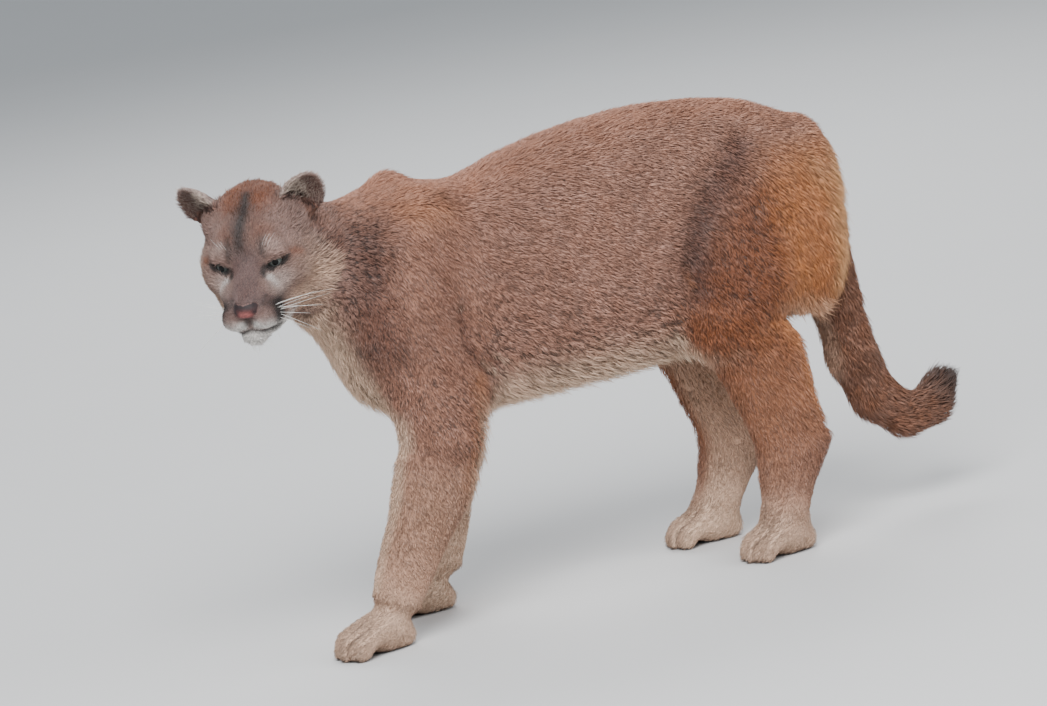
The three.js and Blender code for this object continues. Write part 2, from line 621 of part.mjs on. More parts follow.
// An ear: a cup with a round tip. Its sections are arcs across the ear, each closed by the same arc one
// wall further in.
function earShell(side) {
  const { height, half, frame } = earAxes();
  const [rings, arcs, sunk] = [7, 7, -0.35];
  const ringSize = 2 * (arcs + 1);
  const vertices = [];
  for (let ring = 0; ring <= rings; ring++) {
    const rise = sunk + (1 - sunk) * Math.sin((ring / rings) * Math.PI / 2);
    const above = Math.max(0, rise);
    const narrow = Math.sqrt(Math.max(0.004, 1 - above ** 2.4));
    const width = half * narrow * (1 + 0.16 * Math.sin(Math.PI * above));
    const depth = EAR.cup * narrow * (1 - 0.45 * above);
    const wall = Math.min(EAR.wall, 0.4 * width);
    for (let n = 0; n < ringSize; n++) {
      const [layer, step] = n <= arcs ? [0, n] : [1, ringSize - 1 - n];
      const turn = (step / arcs - 0.5) * Math.PI;
      vertices.push(new THREE.Vector3((width - 0.8 * layer * wall) * Math.sin(turn), height * rise,
        -Math.max(0, depth - layer * wall) * Math.cos(turn)));
    }
  }
  const faces = [];
  const quad = (a, b, c, d) => faces.push(a, b, c, a, c, d);
  for (let ring = 0; ring < rings * ringSize; ring += ringSize)
    for (let n = 0; n < ringSize; n++) {
      const next = (n + 1) % ringSize;
      quad(ring + n, ring + n + ringSize, ring + next + ringSize, ring + next);
    }
  const tip = rings * ringSize;
  for (let n = 0; n < arcs; n++) {
    quad(n, n + 1, ringSize - 2 - n, ringSize - 1 - n);
    quad(tip + ringSize - 1 - n, tip + ringSize - 2 - n, tip + n + 1, tip + n);
  }
  const geometry = new THREE.BufferGeometry().setFromPoints(vertices);
  geometry.setIndex(faces);
  return inHead(geometry.rotateY(THREE.MathUtils.degToRad(EAR_TURN[side])).applyMatrix4(frame), side);
}

// All that stands above an ear's root
function earBlock(side, grow) {
  const [wide, tall, deep] = [84, 96, 56].map((size) => size + 2 * grow);
  const block = bare(new THREE.BoxGeometry(wide, tall, deep).translate(0, tall / 2 + EAR.lift - grow, -10));
  return inHead(mergeVertices(block, 1e-4).applyMatrix4(earAxes().frame), side);
}

const headGrid = [
  lines(-130, 168, (x) => (x < 0 ? 23 : x < 88 ? 10.5 : 7)),
  lines(-112, 112, (y) => (Math.abs(y + 4) > 46 ? 15 : 8)),
  lines(-104, 116, (z) => (z < -88 || z > 42 ? 15 : z < 4 ? 7.5 : 9)),
];
let skullSkin = surface(cat, headFrame, headGrid).intersect(behind(cuts.nape.at, cuts.nape.normal));
for (const side of ["left", "right"]) {
  skullSkin = skullSkin.subtract(inHead(lidOpening(), side))
    .subtract(inHead(nostril(), side))
    .add(earShell(side));
}
for (const side of ["left", "right"]) {
  addNode(`ear_${side}`, skullSkin.intersect(earBlock(side, 0)), COAT.ear);
  skullSkin = skullSkin.subtract(earBlock(side, GAP)).subtract(inHead(eyeball(GAP), side));
  addNode(`eye_${side}`, inHead(eyeball(0), side), IRIS, 0.1);
}
addNode("nose", skullSkin.intersect(nosePrism(0)), NOSE_LEATHER, 0.5);
addNode("lower_jaw", skullSkin.intersect(jawBlock(0)), COAT.chin);
addNode("head", skullSkin.subtract(nosePrism(GAP)).subtract(jawBlock(GAP)), COAT.face);

// Stands the group with its origin on the floor under the middle of its bounding box
const box = new THREE.Box3().setFromObject(cougar);
cougar.position.set(-(box.min.x + box.max.x) / 2, -(box.min.y + box.max.y) / 2, 0);

export default cougar;
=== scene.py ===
import math

import bpy
import numpy as np
from mathutils import Matrix, Vector
from mathutils.bvhtree import BVHTree


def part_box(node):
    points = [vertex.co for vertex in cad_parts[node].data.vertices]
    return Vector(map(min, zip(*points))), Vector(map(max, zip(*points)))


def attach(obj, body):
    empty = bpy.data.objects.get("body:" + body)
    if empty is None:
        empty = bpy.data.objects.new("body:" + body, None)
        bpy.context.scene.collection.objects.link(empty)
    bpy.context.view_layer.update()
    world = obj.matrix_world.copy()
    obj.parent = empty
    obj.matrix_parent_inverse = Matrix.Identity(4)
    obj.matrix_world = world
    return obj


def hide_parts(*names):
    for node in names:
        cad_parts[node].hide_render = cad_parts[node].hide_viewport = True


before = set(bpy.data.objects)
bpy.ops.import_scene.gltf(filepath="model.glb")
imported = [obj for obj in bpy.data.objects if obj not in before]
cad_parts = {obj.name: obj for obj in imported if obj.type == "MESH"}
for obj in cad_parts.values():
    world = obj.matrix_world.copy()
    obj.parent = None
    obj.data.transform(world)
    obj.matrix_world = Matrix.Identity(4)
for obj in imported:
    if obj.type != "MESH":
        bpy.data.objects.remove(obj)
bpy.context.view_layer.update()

bl_info = {
    "name": "Cougar",
    "version": (1, 0, 0),
    "blender": (4, 5, 0),
    "location": "3D View > Sidebar > Cougar",
    "description": "Dresses the solids of a cougar in one skin, a coat of tufts, eyes, lids and whiskers",
    "category": "Object",
}

MM = 0.001
BODY = "root"
FLESH = sorted(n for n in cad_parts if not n.startswith("eye"))
SIDES = ("left", "right")

# The head's own axes: X to the nose, Y to the animal's left, Z to the crown, in mm from inside the skull
HEAD_TURN = math.radians(58)
HEAD_DIP = math.radians(17)
EYES_AHEAD = 50
EYES_ABOVE = 15
EYE_RADIUS = 16.3
EYE_OUTWARD = math.radians(16)
GAZE_DROP = -0.03


def eye_centre(side):
    low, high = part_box("eye_" + side)
    return np.array((low + high) / 2)


NOSE_AXIS = -np.array([math.cos(HEAD_TURN) * math.cos(HEAD_DIP), math.sin(HEAD_TURN) * math.cos(HEAD_DIP),
                       math.sin(HEAD_DIP)])
LEFT_AXIS = np.array([-NOSE_AXIS[1], NOSE_AXIS[0], 0]) / math.cos(HEAD_DIP)
UP_AXIS = np.cross(NOSE_AXIS, LEFT_AXIS)
HEAD_AXES = np.array([NOSE_AXIS, LEFT_AXIS, UP_AXIS])
SKULL = (eye_centre("left") + eye_centre("right")) / 2 - MM * (EYES_AHEAD * NOSE_AXIS + EYES_ABOVE * UP_AXIS)


def to_head(points):
    return (np.asarray(points) - SKULL) @ HEAD_AXES.T / MM


def from_head(points):
    return SKULL + np.asarray(points, float) * MM @ HEAD_AXES


# How the coat lies and looks on each length of the body:
# lie in the row's axes, length, width and depth in mm, lift in degrees, colour
COAT_OF = {
    "head": ((0, 0, 0), 9, 0.9, 2.5, 14, "temple"),
    "lower_jaw": ((0, 0, 0), 8, 0.9, 0.6, 16, "white"),
    "nose": ((0, 0, 0), 3, 0.7, 0.0, 8, "bridge"),
    "ear": ((0, 0, 0), 7, 0.8, 0.3, 12, "ear"),
    "neck": ((0.75, 0, -0.65), 14, 1.3, 5, 22, "neck"),
    "chest": ((0.7, 0, -0.7), 17, 1.35, 6, 18, "shoulder"),
    "barrel": ((0.85, 0, -0.5), 18, 1.4, 6, 17, "flank"),
    "rump": ((0.8, 0, -0.6), 17, 1.4, 6, 17, "rump"),
    "upper_foreleg": ((0.35, 0, -0.95), 15, 1.35, 5.5, 18, "foreleg"),
    "forearm": ((0.1, 0, -1), 12, 1.3, 3.8, 16, "forearm"),
    "forepaw": ((-0.8, 0, -0.5), 8, 1.1, 1.6, 15, "paw"),
    "thigh": ((0.35, 0, -0.95), 18, 1.4, 6, 19, "thigh"),
    "shank": ((0.35, 0, -0.95), 17, 1.5, 5, 18, "shank"),
    "hind_foot": ((0, 0, -1), 11, 1.3, 3, 17, "hind_foot"),
    "hind_paw": ((-0.8, 0, -0.5), 8, 1.1, 1.6, 15, "paw"),
    "tail_root": ((0.3, 0, -0.95), 21, 1.6, 6, 17, "tail"),
    "tail_middle": ((0.25, 0, -0.97), 21, 1.6, 6, 17, "tail"),
    "tail_end": ((0.95, 0, -0.1), 21, 1.6, 6, 17, "tail"),
    "tail_tip": ((0.8, 0, 0.5), 26, 1.8, 6, 24, "tail_tip"),
}

# Colours as a painter would mix them, red, green and blue from 0 to 255
# Shade is the colour of painted shade in hollows, folds and the ears' cups
COLOURS = {
    "temple": (138, 108, 98), "white": (226, 220, 214), "bridge": (108, 82, 78), "ear": (96, 72, 64),
    "neck": (146, 106, 90), "shoulder": (160, 114, 94), "flank": (168, 122, 102), "rump": (168, 122, 101),
    "foreleg": (156, 110, 90), "forearm": (178, 136, 112), "paw": (200, 166, 142), "thigh": (148, 86, 50),
    "shank": (160, 106, 76), "hind_foot": (148, 102, 80), "tail": (132, 86, 62), "tail_tip": (56, 36, 28),
    "back": (170, 118, 94), "belly": (238, 204, 176), "cream": (236, 198, 146), "orange": (214, 140, 82),
    "shade": (88, 54, 44), "crown": (122, 70, 44), "stripe": (34, 20, 16), "cheek": (190, 156, 132),
    "pale": (190, 168, 158), "dark": (28, 20, 18), "leather": (150, 84, 80), "rim": (34, 23, 25),
    "ear_hair": (206, 190, 174), "sole": (60, 44, 40),
}


def tint(name):
    """A named colour in Blender's own linear values."""
    c = np.array(COLOURS[name], float) / 255
    return np.where(c < 0.04045, c / 12.92, ((c + 0.055) / 1.055) ** 2.4)


def of_node(name):
    """The coat's row for a node: left and right share one."""
    stem = name.replace("_left", "").replace("_right", "")
    return COAT_OF[stem]


def ramp(value, low, high):
    """A smooth step from 0 at low to 1 at high, whichever of them is greater."""
    t = np.clip((value - low) / (high - low), 0, 1)
    return t * t * (3 - 2 * t)


def unit(vectors):
    size = np.linalg.norm(vectors, axis=-1, keepdims=True)
    return vectors / np.maximum(size, 1e-9)


def along_skin(vectors, normals):
    """What is left of vectors without their share along the normals."""
    return vectors - normals * (vectors * normals).sum(1, keepdims=True)


def turned(u, v, angle):
    return u * math.cos(angle) - v * math.sin(angle), u * math.sin(angle) + v * math.cos(angle)


def spot(points, centre, radii):
    """1 at the centre, and less with distance, by the radii along each axis."""
    return np.exp(-(((points - np.array(centre, float)) / np.array(radii, float)) ** 2).sum(-1))


def distance_to_line(points, line):
    """Least distance from each point to a line of points."""
    best = np.full(len(points), np.inf)
    for a, b in zip(np.array(line[:-1], float), np.array(line[1:], float)):
        along = np.clip((points - a) @ (b - a) / ((b - a) @ (b - a)), 0, 1)
        best = np.minimum(best, np.linalg.norm(points - a - along[:, None] * (b - a), axis=1))
    return best


def stroke(points, line, width):
    """1 on the line of points, and less with distance from it."""
    return np.exp(-(distance_to_line(points, line) / width) ** 2)


def mixed(colour, name, share):
    """Colours with a share of a named one mixed in."""
    share = np.clip(share, 0, 1)[:, None]
    return colour * (1 - share) + tint(name) * share


def marked(colour, points, marks):
    """Colours with a list of marks painted over them, one after another."""
    for name, share, where, size in marks:
        shape = spot(points, where, size) if np.ndim(where) == 1 else stroke(points, where, size)
        colour = mixed(colour, name, share * shape)
    return colour


# Seeded noise on points in space
NOISE_SIZE = 64
NOISE_TABLE = np.random.default_rng(11).random((NOISE_SIZE,) * 3)
JITTER_TABLE = np.random.default_rng(12).random((NOISE_SIZE,) * 3 + (3,))


def noise(points, size, shift=0):
    """Smooth noise from -1 to 1 whose bumps are about `size` metres across."""
    q = points / size + shift * 7.31
    cell = np.floor(q).astype(int)
    f = q - cell
    f = f * f * (3 - 2 * f)
    total = np.zeros(len(points))
    for corner in np.ndindex(2, 2, 2):
        i = (cell + corner) % NOISE_SIZE
        weight = np.prod(np.where(corner, f, 1 - f), axis=1)
        total += weight * NOISE_TABLE[i[:, 0], i[:, 1], i[:, 2]]
    return total * 2 - 1


def locks(points, size, axis, stretch):
    """Gathers points into locks `size` across and `stretch` times as long along `axis`.
    Gives the middle of each point's lock and how far it is from the parting to the next."""
    axis = unit(np.array(axis, float))
    squash = np.eye(3) - np.outer(axis, axis) * (1 - 1 / stretch)
    q = points @ squash / size
    cell = np.floor(q).astype(int)
    first = np.full(len(points), np.inf)
    second = np.full(len(points), np.inf)
    middle = np.zeros((len(points), 3))
    for step in np.ndindex(3, 3, 3):
        c = cell + np.array(step) - 1
        i = c % NOISE_SIZE
        site = c + JITTER_TABLE[i[:, 0], i[:, 1], i[:, 2]]
        d = np.linalg.norm(q - site, axis=1)
        nearer = d < first
        second = np.where(nearer, first, np.minimum(second, d))
        middle[nearer] = site[nearer]
        first = np.where(nearer, d, first)
    stretch_back = np.eye(3) + np.outer(axis, axis) * (stretch - 1)
    return middle * size @ stretch_back, second - first


# Meshes
def plain_select(obj):
    """Selects one object and nothing else."""
    bpy.ops.object.select_all(action="DESELECT")
    bpy.context.view_layer.objects.active = obj
    obj.select_set(True)


def new_piece(name, verts, faces):
    """A mesh object at the origin from arrays of points and of faces with the same number of corners."""
    verts = np.ascontiguousarray(verts, np.float32)
    faces = np.ascontiguousarray(faces, np.int32)
    mesh = bpy.data.meshes.new(name)
    mesh.vertices.add(len(verts))
    mesh.vertices.foreach_set("co", verts.ravel())
    mesh.loops.add(faces.size)
    mesh.loops.foreach_set("vertex_index", faces.ravel())
    mesh.polygons.add(len(faces))
    mesh.polygons.foreach_set("loop_start", np.arange(0, faces.size, faces.shape[1], dtype=np.int32))
    mesh.polygons.foreach_set("use_smooth", np.ones(len(faces), bool))
    mesh.update(calc_edges=True)
    obj = bpy.data.objects.new(name, mesh)
    bpy.context.scene.collection.objects.link(obj)
    return obj


def add_map(obj, uv):
    layer = obj.data.uv_layers.new(name="OFBake")
    layer.data.foreach_set("uv", np.ascontiguousarray(uv, np.float32).ravel())


def add_colour(obj, colour):
    """Stores a colour at each vertex, which the finishes read."""
    layer = obj.data.color_attributes.new(name="Coat", type="FLOAT_COLOR", domain="POINT")
    rgba = np.ones((len(colour), 4), np.float32)
    rgba[:, :3] = colour
    layer.data.foreach_set("color", rgba.ravel())


def points_of(mesh):
    co = np.empty(len(mesh.vertices) * 3, np.float32)
    mesh.vertices.foreach_get("co", co)
    return co.reshape(-1, 3).astype(float)


def set_points(mesh, points):
    mesh.vertices.foreach_set("co", np.ascontiguousarray(points, np.float32).ravel())
    mesh.update()


def normals_of(mesh):
    normals = np.empty(len(mesh.vertices) * 3, np.float32)
    mesh.vertices.foreach_get("normal", normals)
    return normals.reshape(-1, 3).astype(float)


def triangles_of(mesh):
    mesh.calc_loop_triangles()
    tris = np.empty(len(mesh.loop_triangles) * 3, np.int32)
    mesh.loop_triangles.foreach_get("vertices", tris)
    return tris.reshape(-1, 3)


def edges_of(mesh):
    edges = np.empty(len(mesh.edges) * 2, np.int32)
    mesh.edges.foreach_get("vertices", edges)
    return edges.reshape(-1, 2)


def apply(obj, name):
    plain_select(obj)
    bpy.ops.object.modifier_apply(modifier=name)


def face_outward(obj):
    plain_select(obj)
    bpy.ops.object.mode_set(mode="EDIT")
    bpy.ops.mesh.select_all(action="SELECT")
    bpy.ops.mesh.normals_make_consistent(inside=False)
    bpy.ops.object.mode_set(mode="OBJECT")


def spread(values, edges, times):
    """Blends values over a mesh's edges, so that they change softly from one length to the next."""
    out = values.astype(float).copy()
    count = np.maximum(np.bincount(edges.ravel(), minlength=len(out)), 1)
    for _ in range(times):
        for k in range(out.shape[1]):
            column = out[:, k]
            total = np.bincount(edges[:, 0], column[edges[:, 1]], len(out))
            total += np.bincount(edges[:, 1], column[edges[:, 0]], len(out))
            out[:, k] = 0.4 * column + 0.6 * total / count
    return out


def nearest_nodes(points):
    """The index in FLESH of the solid that lies nearest to each point."""
    corners, tris, owner = [], [], []
    start = 0
    for i, name in enumerate(FLESH):
        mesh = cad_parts[name].data
        co, tri = points_of(mesh), triangles_of(mesh)
        corners.append(co)
        tris.append(tri + start)
        owner += [i] * len(tri)
        start += len(co)
    tree = BVHTree.FromPolygons(np.concatenate(corners).tolist(), np.concatenate(tris).tolist())
    owner = np.array(owner)
    found = [tree.find_nearest(p)[2] for p in points.tolist()]
    return owner[np.array(found)]


def owned(owner, *stems):
    """Whether each point belongs to a node whose name begins with one of the stems."""
    return np.isin(owner, [i for i, n in enumerate(FLESH) if n.startswith(stems)])


# The skin
VOXEL = 2.4 * MM
GAP_CLOSE = 0.45 * MM
SAME_POINT = 1e-6
SKIN_TRIANGLES = 190000
BLEND_PASSES = 70
SMOOTH_PASSES = 90
WITHERS_PASSES = 420
WITHERS = (-0.266, 0.007, 0.647)
WITHERS_RADII = (0.075, 0.075, 0.06)
HEAD_NODES = ("head", "ear_", "lower_jaw", "nose")

# Joints that are smoothed over: how strongly, and the nodes on one side of each
SEAMS = [(1.0, ("forepaw", "hind_paw")), (1.0, ("hind_foot",)), (0.45, HEAD_NODES)]

# Lines along which the skin is pressed in on both sides: X and Z in metres, then width and depth in mm
FOLDS = [
    ([(-0.222, 0.462), (-0.221, 0.411), (-0.211, 0.384), (-0.186, 0.357)], 9, 10),
    ([(-0.200, 0.420), (-0.188, 0.390), (-0.172, 0.372)], 6, 6),
    ([(-0.287, 0.626), (-0.249, 0.624), (-0.205, 0.618)], 13, 1.8),
    ([(-0.322, 0.600), (-0.333, 0.558), (-0.338, 0.518)], 9, 4),
    ([(0.250, 0.612), (0.198, 0.557), (0.158, 0.506), (0.139, 0.450)], 28, 9),
    ([(0.139, 0.450), (0.136, 0.400)], 14, 5),
]
# The same for lines along which it is raised
SWELLS = [
    ([(-0.262, 0.596), (-0.225, 0.596)], 26, 2.2),
    ([(-0.265, 0.500), (-0.262, 0.420)], 34, 4),
    ([(-0.300, 0.400), (-0.290, 0.330)], 26, 3.5),
    ([(0.230, 0.470), (0.250, 0.400)], 40, 4),
    ([(0.190, 0.330), (0.150, 0.370)], 22, 2.5),
    ([(0.330, 0.560), (0.300, 0.600)], 26, 4),
]


# The trunk's middle along Y, in metres
TRUNK_MIDDLE = 0.01


def press(points, lines):
    """How far the skin moves in along the lines, in mm, on the trunk's two sides."""
    side = points[:, [0, 2]]
    trunk = ramp(np.abs(points[:, 1] - TRUNK_MIDDLE), 0.035, 0.065)
    total = np.zeros(len(points))
    for line, width, depth in lines:
        total += depth * stroke(side, line, width * MM) * trunk
    return total


# Clefts between toes as shares of a paw's width from its middle, where they end as shares of its length
# from its front, and their width and depth in mm
TOE_CLEFTS = (-0.235, 0.0, 0.235)
CLEFT_FADES = 0.30
CLEFT_ENDS = 0.44
CLEFT_WIDTH = 3.0
CLEFT_DEPTH = 4.6
PAW_MARGIN = 0.01


def between_toes(points):
    """The clefts between the toes, in mm: three to a paw, from its front over its top."""
    x, y, z = points.T
    total = np.zeros(len(points))
    for name in FLESH:
        if "paw" not in name:
            continue
        low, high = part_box(name)
        length, width = high[0] - low[0], high[1] - low[1]
        off_middle = y - (low[1] + high[1]) / 2
        inside = (z < high[2]) & (np.abs(off_middle) < width / 2) & (x > low[0] - PAW_MARGIN)
        reach = inside * ramp(x, low[0] + CLEFT_ENDS * length, low[0] + CLEFT_FADES * length)
        for share in TOE_CLEFTS:
            off = (off_middle - share * width) / MM
            total += CLEFT_DEPTH * np.exp(-(off / CLEFT_WIDTH) ** 2) * reach
    return total


# The cheek's edge in the head's axes and the groove behind it: how far behind, how deep and how wide, in mm
CHEEK_EDGE = [(-30, 66, 60), (-16, 88, 22), (-10, 98, -20), (-4, 92, -60), (8, 66, -95)]
GROOVE_BEHIND = (14, 0, 0)
GROOVE_DEPTH = 5.5
GROOVE_WIDTH = 13


def behind_cheek(points):
    """The groove where the cheeks' ruff ends and the neck begins, in mm."""
    head = to_head(points)
    head[:, 1] = np.abs(head[:, 1])
    return GROOVE_DEPTH * stroke(head, np.array(CHEEK_EDGE) - GROOVE_BEHIND, GROOVE_WIDTH)


def eye_clear(points):
    """0 at the lids and 1 away from them, so that the skin keeps the sockets' shape."""
    near = np.ones(len(points))
    for side in SIDES:
        near = np.minimum(near, ramp(np.linalg.norm(points - eye_centre(side), axis=1), 19 * MM, 27 * MM))
    return near


def join_flesh():
    """Joins the solids of flesh into one closed surface."""
    corners, tris = [], []
    start = 0
    for name in FLESH:
        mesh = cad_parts[name].data
        corners.append(points_of(mesh))
        tris.append(triangles_of(mesh) + start)
        start += len(corners[-1])
    skin = new_piece("skin", np.concatenate(corners), np.concatenate(tris))
    plain_select(skin)
    bpy.ops.object.mode_set(mode="EDIT")
    bpy.ops.mesh.select_all(action="SELECT")
    bpy.ops.mesh.remove_doubles(threshold=SAME_POINT)
    bpy.ops.object.mode_set(mode="OBJECT")
    grow = skin.modifiers.new("close", "DISPLACE")
    grow.strength = GAP_CLOSE
    grow.mid_level = 0
    apply(skin, "close")
    remesh = skin.modifiers.new("one", "REMESH")
    remesh.mode = "VOXEL"
    remesh.voxel_size = VOXEL
    apply(skin, "one")
    return skin


def keep_largest(obj):
    """Drops whatever loose shells lie inside the skin."""
    mesh = obj.data
    edges = edges_of(mesh)
    label = np.arange(len(mesh.vertices))
    while True:
        low = np.minimum(label[edges[:, 0]], label[edges[:, 1]])
        before = label.copy()
        np.minimum.at(label, edges[:, 0], low)
        np.minimum.at(label, edges[:, 1], low)
        label = label[label]
        if (label == before).all():
            break
    best = np.bincount(label).argmax()
    if (label == best).all():
        return
    plain_select(obj)
    bpy.ops.object.mode_set(mode="EDIT")
    bpy.ops.mesh.select_mode(type="VERT")
    bpy.ops.object.mode_set(mode="OBJECT")
    mesh.vertices.foreach_set("select", label != best)
    bpy.ops.object.mode_set(mode="EDIT")
    bpy.ops.mesh.delete(type="VERT")
    bpy.ops.object.mode_set(mode="OBJECT")


# How much each length of the body is smoothed, where it isn't smoothed in full
SMOOTHING = {"head": 0.05, "lower_jaw": 0.04, "nose": 0.02, "ear": 0.03, "forepaw": 0.2, "hind_paw": 0.2,
             "forearm": 0.5, "shank": 0.6, "hind_foot": 0.4, "tail_tip": 0.4}


def smoothing_of(name):
    return SMOOTHING.get(name.replace("_left", "").replace("_right", ""), 1.0)


def weigh(obj, name, weights):
    """A vertex group with a weight for each vertex, set in twenty steps."""
    group = obj.vertex_groups.new(name=name)
    steps = np.round(np.clip(weights, 0, 1) * 20).astype(int)
    for step in range(1, 21):
        group.add(np.nonzero(steps == step)[0].tolist(), step / 20, "REPLACE")


def soften(obj, name, weights, passes):
    """Smooths a mesh where the weights say."""
    weigh(obj, name, weights)
    smooth = obj.modifiers.new(name, "SMOOTH")
    smooth.factor = 0.5
    smooth.iterations = passes
    smooth.vertex_group = name
    apply(obj, name)


def draw_inward(mesh, label, depth):
    """Sinks the skin by the coat's depth, with its folds and clefts, and keeps the thin ears whole."""
    edges = edges_of(mesh)
    points, normals = points_of(mesh), normals_of(mesh)
    inward = depth * eye_clear(points) + press(points, FOLDS) - press(points, SWELLS)
    inward += behind_cheek(points) + between_toes(points)
    inward = spread(inward[:, None], edges, 2)[:, 0]
    ears = owned(label, "ear_")
    inward *= 1 - 0.9 * ramp(spread(ears[:, None], edges, 12)[:, 0], 0.04, 0.35)
    set_points(mesh, points - normals * inward[:, None] * MM)


def thin_out(skin, label):
    """Brings the skin's triangles down, away from the head."""
    weigh(skin, "fine", np.where(owned(label, *HEAD_NODES), 0.0, 1.0))
    thin = skin.modifiers.new("thin", "DECIMATE")
    thin.vertex_group = "fine"
    thin.ratio = min(1.0, SKIN_TRIANGLES / len(triangles_of(skin.data)))
    apply(skin, "thin")
    skin.modifiers.new("three", "TRIANGULATE")
    apply(skin, "three")


def shape_skin():
    """The one skin: joined, smoothed, sunk by the coat's depth and thinned out."""
    skin = join_flesh()
    keep_largest(skin)
    mesh = skin.data
    label = nearest_nodes(points_of(mesh))
    edges = edges_of(mesh)
    table = np.array([[smoothing_of(n), of_node(n)[3]] for n in FLESH])
    share, depth = spread(table[label], edges, BLEND_PASSES).T
    # At a seam the part's share passes through one half, where this weight is greatest
    for strength, stems in SEAMS:
        part = spread(owned(label, *stems)[:, None], edges, 30)[:, 0]
        share = np.maximum(share, strength * np.clip(6 * part * (1 - part), 0, 1) ** 2)
    soften(skin, "soften", share, SMOOTH_PASSES)
    soften(skin, "withers", 1.6 * spot(points_of(mesh), WITHERS, WITHERS_RADII), WITHERS_PASSES)
    draw_inward(mesh, label, depth)
    thin_out(skin, label)
    skin.vertex_groups.clear()
    skin.data.polygons.foreach_set("use_smooth", np.ones(len(skin.data.polygons), bool))
    return skin


UNWRAP_MARGIN = 0.006
UNWRAP_SLACK = 1.15


def unwrap(points, tris, owner):
    """Lays the skin out in rectangles, one for each length of the body and each of six ways that it faces."""
    face = np.cross(points[tris[:, 1]] - points[tris[:, 0]], points[tris[:, 2]] - points[tris[:, 0]])
    way = np.abs(face).argmax(1)
    way = way * 2 + (face[np.arange(len(face)), way] > 0)
    chart = owner[tris[:, 0]] * 6 + way
    flat_axes = [(1, 2), (0, 2), (0, 1)]
    uv = np.zeros((len(tris), 3, 2))
    boxes = []
    for c in np.unique(chart):
        faces = np.nonzero(chart == c)[0]
        flat = points[tris[faces]][:, :, flat_axes[(c % 6) // 2]]
        low = flat.reshape(-1, 2).min(0)
        size = flat.reshape(-1, 2).max(0) - low
        uv[faces] = flat - low
        boxes.append((size[1], size[0], faces))
    boxes.sort(key=lambda b: -b[0])
    margin = UNWRAP_MARGIN
    sheet = UNWRAP_SLACK * math.sqrt(sum((h + margin) * (w + margin) for h, w, _ in boxes))
    x, y, shelf = margin, margin, 0
    for h, w, faces in boxes:
        if x + w + margin > sheet:
            x, y, shelf = margin, y + shelf + margin, 0
        uv[faces] += (x, y)
        x += w + margin
        shelf = max(shelf, h)
    return uv / max(sheet, y + shelf + margin)


def sign_of(side):
    """Which way a side lies along the head's Y."""
    return 1 if side == "left" else -1


def ear_facing(side):
    return unit(np.array([0.8, 0.55 * sign_of(side), 0.1])) @ HEAD_AXES


# Lines on the body's sides that markings and painted shade follow: X and Z in metres
SHOULDER_ORANGE_AND_HIGHLIGHT = [(-0.27, 0.61), (-0.22, 0.605)]
THIGH_HOLLOW_SHADE = [(0.24, 0.60), (0.19, 0.55), (0.15, 0.49), (0.14, 0.42)]
NECK_SHADE = [(-0.345, 0.58), (-0.355, 0.50), (-0.35, 0.44)]
THIGH_SHADE = [(0.235, 0.50), (0.205, 0.46), (0.199, 0.405)]
ELBOW_STREAK = [(-0.212, 0.36), (-0.222, 0.30), (-0.25, 0.22)]

# Where the coat parts into clear locks, with darker hair and painted shade in the partings: lines as above,
# and how far from them in metres
CLEAR_LOCKS = [
    ([(0.10, 0.37), (-0.15, 0.38), (-0.17, 0.42)], 0.06),
    ([(-0.36, 0.46), (-0.34, 0.54), (-0.38, 0.60)], 0.06),
    ([(-0.34, 0.36), (-0.26, 0.33), (-0.24, 0.29)], 0.07),
    ([(0.25, 0.50), (0.20, 0.42), (0.22, 0.38)], 0.06),
]

# Marks on the face, in mm along the head's axes: a colour, a strength, and a centre with radii or a line
# with a width. The cheeks' and the muzzle's are only centres with radii. All but the forehead's stripe lie
# alike on both sides.
CHEEK_SPOTS = [((20, 85, -35), (46, 40, 40)), ((45, 60, -50), (40, 26, 26))]
LOW_CHEEK = [("cheek", 0.8, (34, 66, -72), (44, 26, 22))]
CROWN_FRONT = [("crown", 0.55, (58, 24, 60), (18, 20, 18))]
BRIDGE_AND_EYES = [
    ("bridge", 0.8, (114, 26, -18), (22, 14, 16)),
    ("bridge", 0.75, (118, 36, -40), (12, 8, 14)),
    ("pale", 0.9, (80, 42, -10), (26, 16, 16)),
    ("pale", 0.32, (64, 36, 37), (13, 18, 9)),
    ("white", 0.8, [(88, 30, 2), (90, 35, -8)], 5),
]
FOREHEAD_STRIPE = [
    ("stripe", 0.96, [(4, 2, 90), (40, 1, 77), (58, -5, 63), (72, -7, 44)], 8),
    ("stripe", 0.5, [(30, 0, 80), (50, -4, 68), (74, -5, 40)], 19),
]
BROWS_AND_CORNERS = [
    ("stripe", 0.75, [(64, 23, 50), (73, 22, 30)], 5),
    ("crown", 0.8, [(52, 58, 18), (40, 70, 14)], 6),
    ("dark", 0.9, [(76, 23, 14), (84, 22, 6), (90, 23, -2)], 4),
]
MUZZLE_PATCH = ((106, 40, -43), (19, 15, 18))
LIPS = [
    ("stripe", 0.7, [(130, 22, -12), (118, 30, -20), (106, 38, -28)], 7),
    ("white", 1.7, [(134, 12, -44), (131, 26, -45), (120, 28, -55)], 7.5),
    ("white", 0.8, [(104, 26, -74), (84, 38, -70), (70, 50, -66)], 9),
]
UNDER_NOSE = [("dark", 0.8, [(143, 0, -34), (140, 0, -48)], 2.2)]
EAR_FOOT = [("shade", 0.75, (-37, 82, 46), (17, 17, 14))]
# On the pad of the nose, across and up
NOSE_PAD = [("leather", 1.5, (0, -23), (11.5, 5.5)), ("rim", 0.95, (13.5, -21), (4, 4)),
            ("rim", 0.9, (0, -36), (2.5, 8))]

# The line of the mouth, in mm: its height at the front, its slope, its dip under each lip and its width
MOUTH_FRONT = 142
MOUTH_HEIGHT = -48
MOUTH_SLOPE = 0.36
MOUTH_DIP, DIP_OUT, DIP_WIDTH = 5, 19, 11
MOUTH_WIDTH = 2.6
